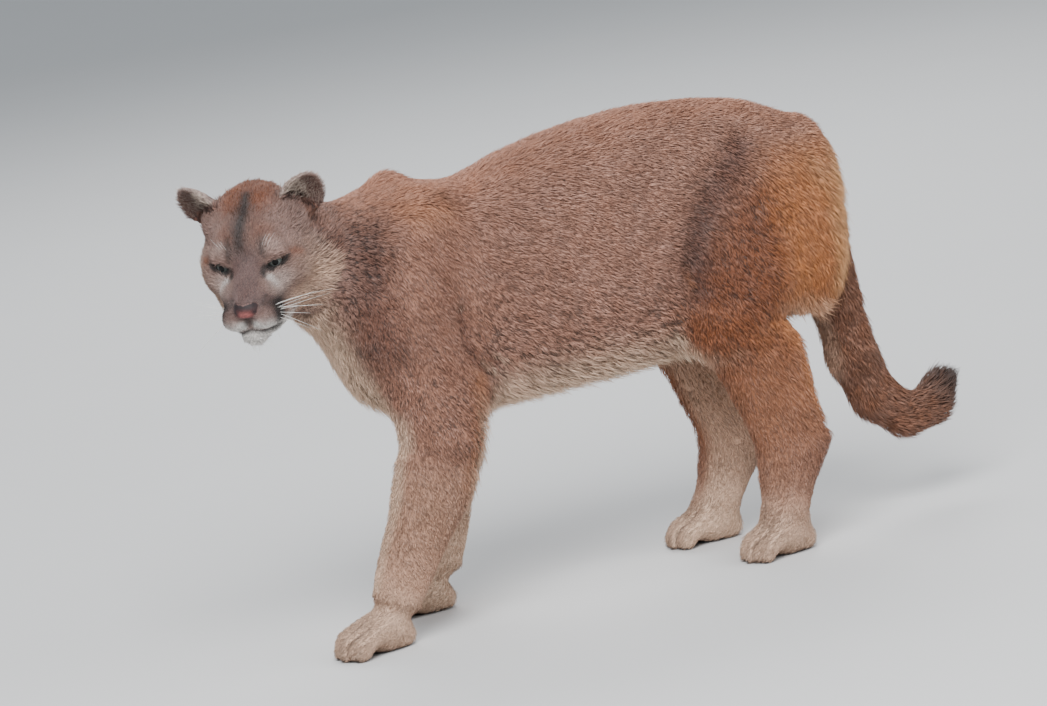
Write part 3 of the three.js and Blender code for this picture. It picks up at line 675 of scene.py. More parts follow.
# How near an eye's middle the skin is bare, in mm
BARE_AT_EYE = 19.2


class Hide:
    """The finished skin as arrays: where it lies, what it carries and how its hair grows."""

    kept = None

    def __init__(self, obj):
        mesh = obj.data
        self.points = points_of(mesh)
        self.normals = normals_of(mesh)
        self.tris = triangles_of(mesh)
        self.edges = edges_of(mesh)
        self.owner = nearest_nodes(self.points)
        self.uv = unwrap(self.points, self.tris, self.owner)
        self.grow()

    def grow(self):
        """Sets how the hair grows everywhere, then paints the body and the head, with painted shade in the
        hollows of the head, ears and paws.
        """
        rows = []
        for name in FLESH:
            lie, length, width, _, lift, colour = of_node(name)
            rows.append([*lie, length, width, lift, *tint(colour), name in ("head", "lower_jaw")])
        field = np.array(rows, float)[self.owner]
        soft = spread(field, self.edges, BLEND_PASSES)
        sharp = spread(field, self.edges, 8)
        near_head = spread(self.on("head", "ear", "lower_jaw", "nose")[:, None], self.edges, 6)
        field = soft * (1 - near_head) + sharp * near_head
        p, n = self.points, self.normals
        # On the head the hair flows back from a point ahead of the nose, and up at the roots of the ears
        head = to_head(p)
        away = unit(head - np.array([150, 0, -18])) + np.array([-0.5, 0, -0.1])
        ear_root = spot(head * (1, 0, 1) + np.abs(head) * (0, 1, 0), (-36, 80, 46), (24, 26, 26))
        away = (away + ear_root[:, None] * np.array([-0.2, 0.4, 1.6])) @ HEAD_AXES
        headness = np.clip(field[:, 9], 0, 1)
        lie = field[:, :3] * (1 - headness[:, None]) + away * headness[:, None]
        ear = self.on("ear")
        lie[ear] = unit(p[ear] - from_head([[20, 0, 30]]))
        ridge = 0.8 * ramp(n[:, 2:], 0.3, 0.85) * self.on("chest", "barrel", "rump", "neck")[:, None]
        lie = lie * (1 - ridge) + np.array([1, 0, -0.1]) * ridge
        self.lie = unit(along_skin(lie, n))
        self.length, self.width, self.lift = field[:, 3:6].T
        self.colour = field[:, 6:9]
        self.head = head
        self.dress_body()
        self.dress_head()
        # Painted shade darkens the hollows of the head, ears and paws
        cleft_shade = self.hollow(5, 0.10, 0.55) * self.on("head", "lower_jaw", "ear", "forepaw", "hind_paw")
        self.colour = self.colour * (1 - 0.5 * cleft_shade)[:, None]

    def on(self, *stems):
        return owned(self.owner, *stems)

    def soft_on(self, times, *stems):
        return spread(self.on(*stems)[:, None], self.edges, times)[:, 0]

    def dress_body(self):
        """Paints the body, with painted shade in its hollows and folds, and lengthens and lifts its hair in
        place on the belly, thigh and elbow.
        """
        p, n = self.points, self.normals
        c, length, lift = self.colour, self.length, self.lift
        x, y, z = p.T
        trunk = self.soft_on(10, "chest", "barrel", "rump", "neck", "upper_foreleg", "thigh")
        # The back, the legs' inner sides, the belly and the throat
        down = ramp(-n[:, 2], 0.3, 0.9) * trunk
        low = ramp(z, 0.385, 0.33) * self.on("barrel", "chest")
        low = spread(low[:, None], self.edges, 10)[:, 0]
        c = mixed(c, "back", 0.8 * ramp(n[:, 2], 0.45, 0.95) * trunk)
        inner = ramp(-n[:, 1] * np.sign(y - TRUNK_MIDDLE), 0.2, 0.8)
        legs = self.on("upper_foreleg", "forearm", "thigh", "shank", "forepaw", "hind_paw", "hind_foot")
        c = mixed(c, "belly", 0.45 * inner * legs)
        c = mixed(c, "belly", np.maximum(down, 0.75 * low))
        length += 14 * down + 4 * low
        lift += 14 * down
        throat = ramp(-n[:, 0], 0.4, 0.85) * ramp(z, 0.54, 0.44) * self.on("chest", "upper_foreleg", "neck")
        throat = spread((throat * ramp(np.abs(y - 0.012), 0.095, 0.05))[:, None], self.edges, 8)[:, 0]
        c = mixed(c, "belly", 0.9 * throat)
        length += 5 * throat
        # The shoulder blade's orange, partly a painted highlight, and painted shade in the hollow ahead of
        # the thigh and on the neck, weaker on the far side
        side = p[:, [0, 2]]
        # Orange along the shoulder blade's crest: partly the coat's own colour, partly a painted highlight
        c = mixed(c, "orange", 0.2 * stroke(side, SHOULDER_ORANGE_AND_HIGHLIGHT, 0.022) * trunk)
        near = 1 - 0.55 * ramp(y, -0.01, 0.03)
        # Painted shade in the hollow ahead of the thigh and down the side of the neck
        c = mixed(c, "shade", 0.8 * stroke(side, THIGH_HOLLOW_SHADE, 0.03) * trunk
                  * ramp(np.abs(y), 0.03, 0.06) * near)
        c = mixed(c, "shade", 0.66 * stroke(side, NECK_SHADE, 0.035)
                  * ramp(np.abs(y - TRUNK_MIDDLE), 0.04, 0.07) * near)
        # The thigh: warm at its rear, with a pale fringe behind and painted shade along its front
        thigh = self.on("thigh", "rump")
        behind = ramp(x, 0.29, 0.35) * thigh
        c = mixed(c, "orange", 0.5 * ramp(x, 0.24, 0.31) * ramp(z, 0.62, 0.56) * thigh)
        c = mixed(c, "cream", 0.7 * ramp(n[:, 0], 0.3, 0.8) * behind * ramp(z, 0.60, 0.52)
                  * ramp(z, 0.31, 0.40))
        hang = behind * ramp(n[:, 0], 0.1, 0.7) * ramp(z, 0.60, 0.52) * ramp(z, 0.33, 0.40)
        length += 16 * hang
        lift += 8 * hang
        rear = self.on("thigh", "shank", "rump") * ramp(n[:, 0], 0.1, 0.8)
        rear = rear * ramp(z, 0.14, 0.26) * ramp(z, 0.6, 0.5)
        c = mixed(c, "orange", 0.5 * spread(rear[:, None], self.edges, 8)[:, 0])
        # Painted shade along the thigh's front edge
        c = mixed(c, "shade", 0.35 * stroke(side, THIGH_SHADE, 0.03) * thigh)
        # The forelegs, with longer hair at the elbows and shorter, flatter hair above the paws
        arm = self.on("upper_foreleg", "forearm", "chest")
        c = mixed(c, "orange", 0.28 * stroke(side, ELBOW_STREAK, 0.016) * arm)
        fore = self.on("forearm", "upper_foreleg") * ramp(z, 0.36, 0.30)
        c = mixed(c, "belly", 0.8 * ramp(n[:, 0], 0.55, 0.95) * fore)
        c = mixed(c, "belly", 0.7 * ramp(-n[:, 0], 0.7, 1.0) * fore)
        elbow = ramp(n[:, 0], 0.3, 0.9) * arm * ramp(z, 0.16, 0.24) * ramp(z, 0.38, 0.33)
        length += 15 * elbow
        lift += 9 * elbow
        wrist = ramp(z, 0.17, 0.09) * self.on("forearm") + ramp(z, 0.13, 0.07) * self.on("shank", "hind_foot")
        length -= 4 * wrist
        lift -= 9 * wrist
        # The tail, the soles, and painted shade along the folds
        tail = self.on("tail")
        c = mixed(c, "belly", 0.3 * ramp(-n[:, 0], 0.5, 0.95) * tail * ramp(z, 0.2, 0.26))
        c = mixed(c, "sole", ramp(0.006 - z, 0, 0.004) * self.on("forepaw", "hind_paw"))
        # Painted shade in the folds behind the elbow and at the withers and neck
        c = mixed(c, "shade", 0.045 * press(p, FOLDS[:4]))
        self.colour = c
        self.rough = 0.4 + 0.6 * np.max([stroke(side, line, far) for line, far in CLEAR_LOCKS], axis=0)

    def dress_head(self):
        """Paints the face in the head's own axes and sets its hair's length."""
        h = self.head
        face = self.on("head", "lower_jaw", "nose")
        c = self.colour.copy()
        both = h * np.array([1, 0, 1]) + np.array([0, 1, 0]) * np.abs(h[:, 1:2])
        x, y, z = both.T
        # Cheeks, the back of the head, the crown and the bridge of the nose
        c = mixed(c, "cheek", 0.9 * np.max([spot(both, *place) for place in CHEEK_SPOTS], axis=0))
        c = marked(c, both, LOW_CHEEK)
        c = mixed(c, "neck", 0.85 * ramp(x, -12, -48) * ramp(z, 40, 70))
        c = mixed(c, "crown", 0.95 * ramp(z, 60, 86) * ramp(x, 56, 22) * ramp(y, 62, 34))
        c = marked(c, both, CROWN_FRONT)
        c = mixed(c, "bridge", 0.85 * ramp(y, 24, 13) * ramp(x, 62, 80) * ramp(z, -34, -14))
        c = marked(c, both, BRIDGE_AND_EYES)
        c = marked(c, h, FOREHEAD_STRIPE)
        c = marked(c, both, BROWS_AND_CORNERS)
        # Dark rims of the eyes and patches beside the muzzle, and the white of the lips and chin
        c = mixed(c, "dark", 0.95 * ramp(self.almond(), 1.22, 1.0))
        c = mixed(c, "dark", 0.95 * np.clip(2.6 * spot(both, *MUZZLE_PATCH), 0, 1))
        c = marked(c, both, LIPS)
        c = mixed(c, "white", ramp(z, -56, -64) * ramp(y, 46, 30) * ramp(x, 40, 70))
        # The line of the mouth
        dip = MOUTH_DIP * np.exp(-((y - DIP_OUT) / DIP_WIDTH) ** 2)
        mouth = np.abs(z - (MOUTH_HEIGHT + MOUTH_SLOPE * (x - MOUTH_FRONT) - dip))
        self.mouth = np.exp(-(mouth / MOUTH_WIDTH) ** 2) * ramp(x, 88, 94) * face
        c = mixed(c, "dark", 0.85 * self.mouth)
        c = marked(c, both, UNDER_NOSE)
        # Behind and below the ears: the neck's colour, painted shade behind the cheek's ruff, and a dark
        # patch at each ear's foot
        back = ramp(x, -6, -20) * ramp(y, 58, 74) * ramp(z, 62, 40)
        c = mixed(c, "neck", back)
        # Painted shade behind the cheek's ruff
        c = mixed(c, "shade", 0.5 * back * ramp(z, 40, 10) * ramp(x, -50, -20))
        c = marked(c, both, EAR_FOOT)
        # The face's hair: short, longer on the cheeks and chin
        own = face[:, None]
        self.colour = np.where(own, c, self.colour)
        lengths = 5 + 5 * ramp(-x, -110, -50) + 9 * spot(both, (6, 90, -30), (34, 40, 50))
        lengths += 4 * ramp(-x, -20, 20)
        lengths += 9 * spot(both, (108, 0, -80), (36, 36, 14))
        self.length = np.where(face, lengths, self.length)
        self.width = np.where(face, 0.8 + 0.35 * ramp(-x, -90, -10), self.width)
        self.lift = np.where(face, 17 + 5 * ramp(-z, 50, 70), self.lift)
        self.lift = self.lift + 20 * spot(both, (112, 0, -80), (36, 36, 14)) * face
        self.paint_nose()
        self.paint_ears()

    def hollow(self, passes, low, high):
        """1 where the skin is hollow, as between toes, in the ears and round the mouth."""
        sunk = ((spread(self.points, self.edges, passes) - self.points) * self.normals).sum(1) / MM
        return ramp(sunk, low, high)

    def almond(self):
        """How far each corner is from an eye's opening: 1 at the lids' edge and more outside it."""
        best = np.full(len(self.points), 9.0)
        for side in SIDES:
            gaze, inward, up = eye_axes(side)
            off = (self.points - eye_centre(side)) / MM
            u, v = turned(off @ inward, off @ up, -LID_TILT)
            far = np.hypot((u - 0.5) / (LID_HALF + 1.5), (v + 1) / 7.6) + 4 * ramp(off @ gaze, 3, -3)
            best = np.minimum(best, far)
        return best

    def near_eye(self):
        """Distance to the nearer eye's middle, in mm."""
        return np.minimum(*[np.linalg.norm(self.points - eye_centre(s), axis=1) for s in SIDES]) / MM

    def paint_nose(self):
        """Pink leather with a dark rim, bare of hair, and the bare skin at the eyes."""
        h = self.head
        pad = self.on("nose")
        c = np.tile(tint("rim"), (len(h), 1))
        front = np.stack([np.abs(h[:, 1]), h[:, 2]], 1)
        c = marked(c, front, NOSE_PAD)
        self.colour = np.where(pad[:, None], c, self.colour)
        self.bald = pad | (self.near_eye() < BARE_AT_EYE)

    def paint_ears(self):
        """Cups darkened with painted shade, and pale rims and tips."""
        for side in SIDES:
            ear = self.on("ear_" + side)
            facing = ear_facing(side)
            inner = ramp(self.normals @ facing, 0.15, 0.5) * ear
            low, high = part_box("ear_" + side)
            top = ramp(self.points[:, 2], low[2] + 0.028, high[2])
            # Painted shade inside the ear's cup
            c = mixed(self.colour, "shade", 0.7 * inner)
            c = mixed(c, "temple", 0.5 * top * ear)
            above_root = ramp(self.points[:, 2], low[2] + 0.02, low[2] + 0.03)
            c = mixed(c, "pale", 0.85 * self.hollow(6, -0.14, -0.5) * above_root)
            self.colour = np.where(ear[:, None], c, self.colour)
            self.length = np.where(ear, 6 + 3 * inner, self.length)

    def place(self, spot_at):
        """The point of the skin that lies nearest to a point in the head's axes."""
        return self.points[np.argmin(np.linalg.norm(self.head - spot_at, axis=1))]

    @classmethod
    def of_skin(cls):
        """The one set of arrays that every piece shares."""
        if cls.kept is None:
            cls.kept = cls(bpy.data.objects["skin"])
        return cls.kept


# Tufts
SINK = 0.6 * MM
PATCH = 0.003
FLOOR_CLEAR = 0.4 * MM
# A tuft is a leaf of five corners: root, two sides, ridge and tip
LEAF_FACES = np.array([(0, 2, 3), (0, 3, 1), (3, 2, 4), (1, 3, 4), (0, 1, 2), (1, 4, 2)])
LEAF_SHADE = np.array([0.70, 0.96, 0.96, 1.0, 1.14])
LEAF_MAP = np.array([(0, -0.5), (0.5, 0), (-0.5, 0), (0, 0), (0, 0.5)]) * PATCH
LEAF_MIDDLE = 0.45
LEAF_RIDGE = 0.30
# How much tufts vary: sway, length, width, lift in degrees and tone
SWAY_WIDE, SWAY_NEAR, SWAY_OWN = 0.22, 0.12, 0.20
LENGTH_WIDE, LENGTH_OWN = 0.18, 0.14
WIDTH_OWN = 0.15
LIFT_WIDE, LIFT_OWN = 4, 4
LIFT_LEAST, LIFT_MOST = 4, 60
TONE_WIDE, TONE_NEAR, TONE_OWN = 0.10, 0.10, 0.09
HEAD_TONE_OWN = 0.16

# Each piece of coat: its nodes, how many tufts, and its locks, with their width in mm, stretch, pull, how
# much darker hair and painted shade their partings carry and whether they run along the lie or across it
COAT_PIECES = {
    "coat_face": (("head", "lower_jaw", "nose"), 32500, 3.2, 2.4, 0.3, 1.0, "along"),
    "coat_crown": (("head", "ear"), 30000, 4.5, 2.2, 0.4, 1.0, "along"),
    "coat_neck": (("neck",), 18000, 8.5, 1.3, 0.65, 1.35, "across"),
    "coat_chest": (("chest",), 21000, 8.0, 1.8, 0.45, 1.1, "along"),
    "coat_foreleg_left": (("upper_foreleg_left", "forearm_left", "forepaw_left"),
                          21000, 5.5, 2.4, 0.5, 1.15, "across"),
    "coat_foreleg_right": (("upper_foreleg_right", "forearm_right", "forepaw_right"),
                          17000, 5.5, 2.4, 0.5, 1.15, "across"),
    "coat_flank_left": (("barrel",), 22000, 8.5, 2.8, 0.5, 1.15, "along"),
    "coat_flank_right": (("barrel",), 18000, 8.5, 2.8, 0.5, 1.15, "along"),
    "coat_rump": (("rump",), 17000, 7, 2.8, 0.35, 0.9, "along"),
    "coat_thigh_left": (("thigh_left",), 13500, 6.5, 2.4, 0.5, 1.15, "along"),
    "coat_thigh_right": (("thigh_right",), 11000, 6.5, 2.4, 0.5, 1.15, "along"),
    "coat_hind_left": (("shank_left", "hind_foot_left", "hind_paw_left"),
                       10000, 7, 2.6, 0.5, 1.0, "along"),
    "coat_hind_right": (("shank_right", "hind_foot_right", "hind_paw_right"),
                       9000, 7, 2.6, 0.5, 1.0, "along"),
    "coat_tail": (("tail",), 12000, 7, 3.0, 0.5, 1.0, "along"),
}
FACE_FROM = 34
FLANKS_MEET = 0.008


def region_of(name, hide, nodes):
    """Which corners of the skin a piece of the coat covers."""
    keep = hide.on(*nodes)
    if name == "coat_face":
        keep &= hide.head[:, 0] > FACE_FROM
    if name == "coat_crown":
        keep &= (hide.head[:, 0] <= FACE_FROM) | hide.on("ear")
    if name == "coat_flank_left":
        keep &= hide.points[:, 1] < FLANKS_MEET
    if name == "coat_flank_right":
        keep &= hide.points[:, 1] >= FLANKS_MEET
    return keep


def scatter(hide, keep, count, rng):
    """Places for tufts, spread evenly over the chosen skin: which triangle, and where in it."""
    tri = hide.points[hide.tris]
    area = np.linalg.norm(np.cross(tri[:, 1] - tri[:, 0], tri[:, 2] - tri[:, 0]), axis=1)
    size = (hide.length * hide.width)[hide.tris].mean(1)
    wanted = keep[hide.tris].mean(1) >= 0.5
    bald = hide.bald[hide.tris].mean(1) > 0.5
    weight = area / size ** 0.6 * wanted * ~bald
    total = np.cumsum(weight)
    ticks = (np.arange(count) + rng.random(count)) / count * total[-1]
    face = np.minimum(np.searchsorted(total, ticks), len(area) - 1)
    u, v = rng.random((2, count))
    flip = u + v > 1
    u, v = np.where(flip, 1 - u, u), np.where(flip, 1 - v, v)
    return face, np.stack([1 - u - v, u, v], 1)


def along_tri(values, hide, face, share):
    """Values of the skin's corners at places inside its triangles."""
    picked = values[hide.tris[face]]
    return (picked * (share[..., None] if picked.ndim == 3 else share)).sum(1)


def new_leaves(name, verts, colour, hide, face, share):
    """One piece from many leaves, with its colours and with each leaf's patch of the skin's own map."""
    faces = LEAF_FACES[None] + 5 * np.arange(len(verts))[:, None, None]
    piece = new_piece(name, verts.reshape(-1, 3), faces.reshape(-1, 3))
    add_colour(piece, colour.reshape(-1, 3))
    centre = (hide.uv[face] * share[..., None]).sum(1)
    uv = np.clip(centre[:, None] + LEAF_MAP, 0, 1)
    add_map(piece, uv.reshape(-1, 2)[faces.reshape(-1)])
    return piece


def grow_coat(name, nodes, count, size, stretch, pull, dark, way, length_scale, seed):
    hide = Hide.of_skin()
    rng = np.random.default_rng(seed)
    face, share = scatter(hide, region_of(name, hide, nodes), count, rng)

    def at(values):
        return along_tri(values, hide, face, share)

    root, normal, lie = at(hide.points), unit(at(hide.normals)), at(hide.lie)
    length, width, lift = at(hide.length), at(hide.width), at(hide.lift)
    colour, mouth, rough = at(hide.colour), at(hide.mouth), at(hide.rough)
    pull, dark = pull * rough, dark * rough
    axis = unit(lie.mean(0))
    if way == "across":
        axis = unit(np.cross(axis, (0, 1, 0)))
    middle, parting = locks(root + 0.002 * noise(root, 0.02)[:, None], size * MM, axis, stretch)
    lie = unit(along_skin(lie, normal))
    across = np.cross(normal, lie)
    sway = SWAY_WIDE * noise(root, 0.03, 1) + SWAY_NEAR * noise(root, 0.009, 2)
    sway += rng.normal(0, SWAY_OWN, count)
    ahead = unit(lie + across * sway[:, None])
    side = np.cross(normal, ahead)
    vary = 1 + LENGTH_WIDE * noise(root, 0.02, 3) + rng.normal(0, LENGTH_OWN, count)
    length = length * length_scale * vary
    edge = ramp(parting, 0.02, 0.24)
    length = np.clip(length * (1 - 0.5 * mouth) * (1 - 0.35 * dark * (1 - edge)), 2, 60) * MM
    width = width * (1 + rng.normal(0, WIDTH_OWN, count)) * MM
    lift = lift + LIFT_WIDE * noise(root, 0.025, 4) + rng.normal(0, LIFT_OWN, count)
    lift = np.radians(np.clip(lift, LIFT_LEAST, LIFT_MOST))
    gather = along_skin(along_skin(middle - root, normal), ahead)
    lift = lift * (0.72 + 0.28 * edge)
    root = root - normal * SINK
    mid = root + ahead * (LEAF_MIDDLE * length * np.cos(lift * 1.25))[:, None] \
        + normal * (LEAF_MIDDLE * length * np.sin(lift * 1.25) + SINK)[:, None] \
        + gather * (LEAF_MIDDLE * pull)[:, None]
    tip = root + ahead * (length * np.cos(lift))[:, None] \
        + normal * (length * np.sin(lift) * 0.92)[:, None] + gather * pull[:, None]
    half = side * (width / 2)[:, None]
    top = mid + normal * (width * LEAF_RIDGE)[:, None]
    verts = np.stack([root, mid + half, mid - half, top, tip], 1)
    verts[:, :, 2] = np.maximum(verts[:, :, 2], FLOOR_CLEAR)
    own = HEAD_TONE_OWN if name in ("coat_face", "coat_crown") else TONE_OWN
    tone = 1 + TONE_WIDE * noise(root, 0.045, 5) + TONE_NEAR * noise(root, 0.012, 6)
    tone += rng.normal(0, own, count)
    # Tufts by the partings between locks are darkened: darker hair and painted shade in the partings
    tone *= 1 - 0.62 * dark * (1 - edge)
    shades = (colour * tone[:, None])[:, None, :] * LEAF_SHADE[None, :, None]
    return new_leaves(name, verts, np.clip(shades, 0, 1), hide, face, share)


# Finishes
BLACK = (0, 0, 0, 1)
WHITE = (1, 1, 1, 1)


class Sum:
    """A socket in a material, or a plain number, that takes part in sums."""

    def __init__(self, tree, socket):
        self.tree, self.socket = tree, socket

    def put(self, kind, inputs=(), out=0, **settings):
        node = self.tree.nodes.new(kind)
        for key, value in settings.items():
            setattr(node, key, value)
        for key, value in (inputs.items() if isinstance(inputs, dict) else enumerate(inputs)):
            if isinstance(value, Sum):
                self.tree.links.new(value.socket, node.inputs[key])
            else:
                node.inputs[key].default_value = value
        return Sum(self.tree, node.outputs[out])

    def math(self, operation, *values):
        return self.put("ShaderNodeMath", values, operation=operation)

    def __add__(self, other):
        return self.math("ADD", self, other)

    def __mul__(self, other):
        return self.math("MULTIPLY", self, other)

    def __rsub__(self, other):
        return self.math("SUBTRACT", other, self)

    __radd__ = __add__
    __rmul__ = __mul__

    def mix(self, a, b):
        """Colour a where this is 0 and b where it is 1."""
        return self.put("ShaderNodeMix", {0: self, 6: a, 7: b}, out=2, data_type="RGBA")

    def darker(self, share):
        return self.put("ShaderNodeMix", {0: share, 6: self, 7: BLACK}, out=2, data_type="RGBA")

    def step(self, low, high):
        """A smooth step from 0 at low to 1 at high."""
        return self.put("ShaderNodeMapRange", {0: self, 1: low, 2: high}, interpolation_type="SMOOTHSTEP")


class Finish:
    """A new material with its shader, and the coordinates that its patterns use."""

    def __init__(self, name, **constants):
        self.material = bpy.data.materials.new(name)
        self.material.use_nodes = True
        self.tree = self.material.node_tree
        self.shader = self.tree.nodes["Principled BSDF"]
        for key, value in constants.items():
            self.shader.inputs[key.replace("_", " ")].default_value = value
        self.start = Sum(self.tree, None)
        self.place = self.start.put("ShaderNodeTexCoord", out="Object")

    def noise(self, scale, detail=3, place=None):
        return self.start.put("ShaderNodeTexNoise", {"Vector": place or self.place, "Scale": scale,
                                                     "Detail": detail}, out=0)

    def coat_colour(self):
        return self.start.put("ShaderNodeVertexColor", out=0, layer_name="Coat")

    def feed(self, **links):
        for key, value in links.items():
            self.tree.links.new(value.socket, self.shader.inputs[key.replace("_", " ")])

    def bump(self, height, distance, strength=1.0):
        self.feed(Normal=self.start.put("ShaderNodeBump", {"Height": height, "Distance": distance,
                                                           "Strength": strength}))


def hair_finish(name="hair"):
    """Soft dull hair: the colour is the coat's own, a little streaked."""
    f = Finish(name, Specular_IOR_Level=0.12, Sheen_Weight=0.03, Sheen_Roughness=0.5)
    streak = f.noise(900, 2)
    cloud = f.noise(38, 3)
    shade = f.coat_colour()
    streaked = (streak * 0.55 + cloud * 0.45).step(0.3, 0.75)
    dark = shade.darker(0.16)
    light = f.start.put("ShaderNodeMix", {0: 0.06, 6: shade, 7: WHITE}, out=2, data_type="RGBA")
    f.feed(Base_Color=streaked.mix(dark, light), Roughness=0.62 + streak * 0.2)
    return f.material


def skin_finish():
    """Hide under the hair, with short fur as bump, and the wet leather of the nose."""
    f = Finish("hide", Specular_IOR_Level=0.35)
    leather = f.start.put("ShaderNodeAttribute", out="Fac", attribute_name="leather")
    fur = f.noise(420, 4)
    grain = f.start.put("ShaderNodeTexVoronoi", {"Vector": f.place, "Scale": 950}, out=0, feature="F1")
    shade = f.coat_colour()
    f.feed(Base_Color=fur.step(0.35, 0.7).mix(shade.darker(0.35), shade), Roughness=0.75 - leather * 0.14)
    f.bump((1 - leather) * fur + leather * grain * 0.6, 0.0008, 0.7)
    return f.material


def lid_finish():
    """Creased lids, dark at their rims."""
    f = Finish("lid_rim", Specular_IOR_Level=0.4)
    crease = f.noise(700, 4)
    shade = f.coat_colour()
    f.feed(Base_Color=crease.step(0.3, 0.7).mix(shade.darker(0.5), shade), Roughness=0.45 + crease * 0.2)
    f.bump(crease, 0.0004, 0.6)
    return f.material


def eye_finish(side, gaze, iris_colour, iris_radius, pupil_radius):
    """Iris, pupil and white, from how far each point is from the line of sight, with a painted shadow over
    the top of the iris.
    """
    f = Finish("eye_" + side, Roughness=0.1, Specular_IOR_Level=0.16)
    off = f.start.put("ShaderNodeVectorMath", [f.place, eye_centre(side).tolist()], operation="SUBTRACT")
    along = f.start.put("ShaderNodeVectorMath", [off, gaze.tolist()], out="Value", operation="DOT_PRODUCT")
    line = f.start.put("ShaderNodeVectorMath", {0: gaze.tolist(), "Scale": along}, operation="SCALE")
    flat = f.start.put("ShaderNodeVectorMath", [off, line], operation="SUBTRACT")
    radius = f.start.put("ShaderNodeVectorMath", [flat], out="Value", operation="LENGTH")
    ray = f.start.put("ShaderNodeVectorMath", [flat], operation="NORMALIZE")
    fibre = f.noise(26, 4, ray)
    fleck = f.noise(1600, 3)
    ring = radius.step(pupil_radius * MM, iris_radius * MM)

    def iris_shade(share):
        return (*(np.array(iris_colour) * share), 1)

    iris = ring.mix(iris_shade(1.5), iris_shade(0.55))
    # Painted shadow of the brow and upper lid over the top of the iris
    high = f.start.put("ShaderNodeVectorMath", [off, UP_AXIS.tolist()], out="Value", operation="DOT_PRODUCT")
    iris = (high.step(-1.0 * MM, 5.5 * MM) * 0.8).mix(iris, (0.006, 0.006, 0.006, 1))
    iris = (fibre.step(0.35, 0.7) * 0.6).mix(iris, iris_shade(0.35))
    iris = (fleck.step(0.5, 0.75) * 0.3).mix(iris, (0.30, 0.28, 0.12, 1))
    front = along.step(0.0, 0.004)
    limbus = radius.step((iris_radius - 1.3) * MM, (iris_radius + 0.1) * MM)
    white = fleck.step(0.3, 0.8).mix((0.10, 0.06, 0.05, 1), (0.16, 0.11, 0.09, 1))
    colour = limbus.mix(iris, (0.004, 0.003, 0.003, 1))
    colour = radius.step((iris_radius + 0.2) * MM, (iris_radius + 1.6) * MM).mix(colour, white)
    pupil = radius.step((pupil_radius - 0.25) * MM, (pupil_radius + 0.25) * MM)
    colour = pupil.mix((0.001, 0.001, 0.001, 1), colour)
    f.feed(Base_Color=front.mix(white, colour))
    return f.material


def whisker_finish():
    f = Finish("whisker", Specular_IOR_Level=0.4)
    band = f.noise(120, 2)
    f.feed(Base_Color=band.step(0.3, 0.7).mix((0.62, 0.60, 0.56, 1), (0.82, 0.80, 0.76, 1)),
           Roughness=0.4 + band * 0.15)
    return f.material


def floor_finish(colour):
    f = Finish("plain_floor", Specular_IOR_Level=0.2)
    patch = f.noise(3, 4)
    f.feed(Base_Color=patch.mix((*(np.array(colour) * 0.97), 1), (*colour, 1)), Roughness=0.8 + patch * 0.1)
    f.bump(f.noise(160, 3), 0.0005, 0.2)
    return f.material


def cover(obj, material):
    """Gives a piece its one material and ties it to the body."""
    obj.data.materials.clear()
    obj.data.materials.append(material)
    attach(obj, BODY)
    return obj


# Eyes, lids and whiskers
def eye_axes(side):
    """Line of sight, toward the inner corner, and up, for one eye."""
    sign = sign_of(side)
    gaze = np.array([math.cos(EYE_OUTWARD), sign * math.sin(EYE_OUTWARD), GAZE_DROP]) @ HEAD_AXES
    gaze = gaze / np.linalg.norm(gaze)
    inward = np.cross(UP_AXIS, gaze) * -sign
    inward = inward / np.linalg.norm(inward)
    return gaze, inward, np.cross(gaze, inward) * -sign


CORNEA_BULGE = 1.1
CORNEA_EDGE = 12.5
CORNEA_FLAT = 4
LID_HALF = 14.5
LID_TOP = 5.2
LID_BOTTOM = 7.6
LID_TILT = math.radians(-9)
LID_STEPS = 72
# Each ring of a lid: how far outside the opening it runs and how high over the ball, in mm
LID_RINGS = [(8.5, 0.2), (7.0, 1.5), (4.5, 2.3), (2.4, 2.5), (1.0, 2.2), (0.2, 1.5), (-0.1, 0.8), (0.3, 0.1),
             (2.5, -0.8), (6.5, -1.2)]


def make_eye(side):
    gaze, inward, _ = eye_axes(side)
    bpy.ops.object.select_all(action="DESELECT")
    bpy.ops.mesh.primitive_uv_sphere_add(segments=64, ring_count=40, radius=EYE_RADIUS * MM)
    ball = bpy.context.object
    ball.name = "eyeball_" + side
    points = points_of(ball.data)
    off = np.linalg.norm(points[:, :2], axis=1) / MM
    points[:, 2] += CORNEA_BULGE * MM * ramp(-off, -CORNEA_EDGE, -CORNEA_FLAT) * (points[:, 2] > 0)
    set_points(ball.data, points @ np.array([inward, np.cross(gaze, inward), gaze]) + eye_centre(side))
    face_outward(ball)
    bpy.ops.object.shade_smooth()
    return ball


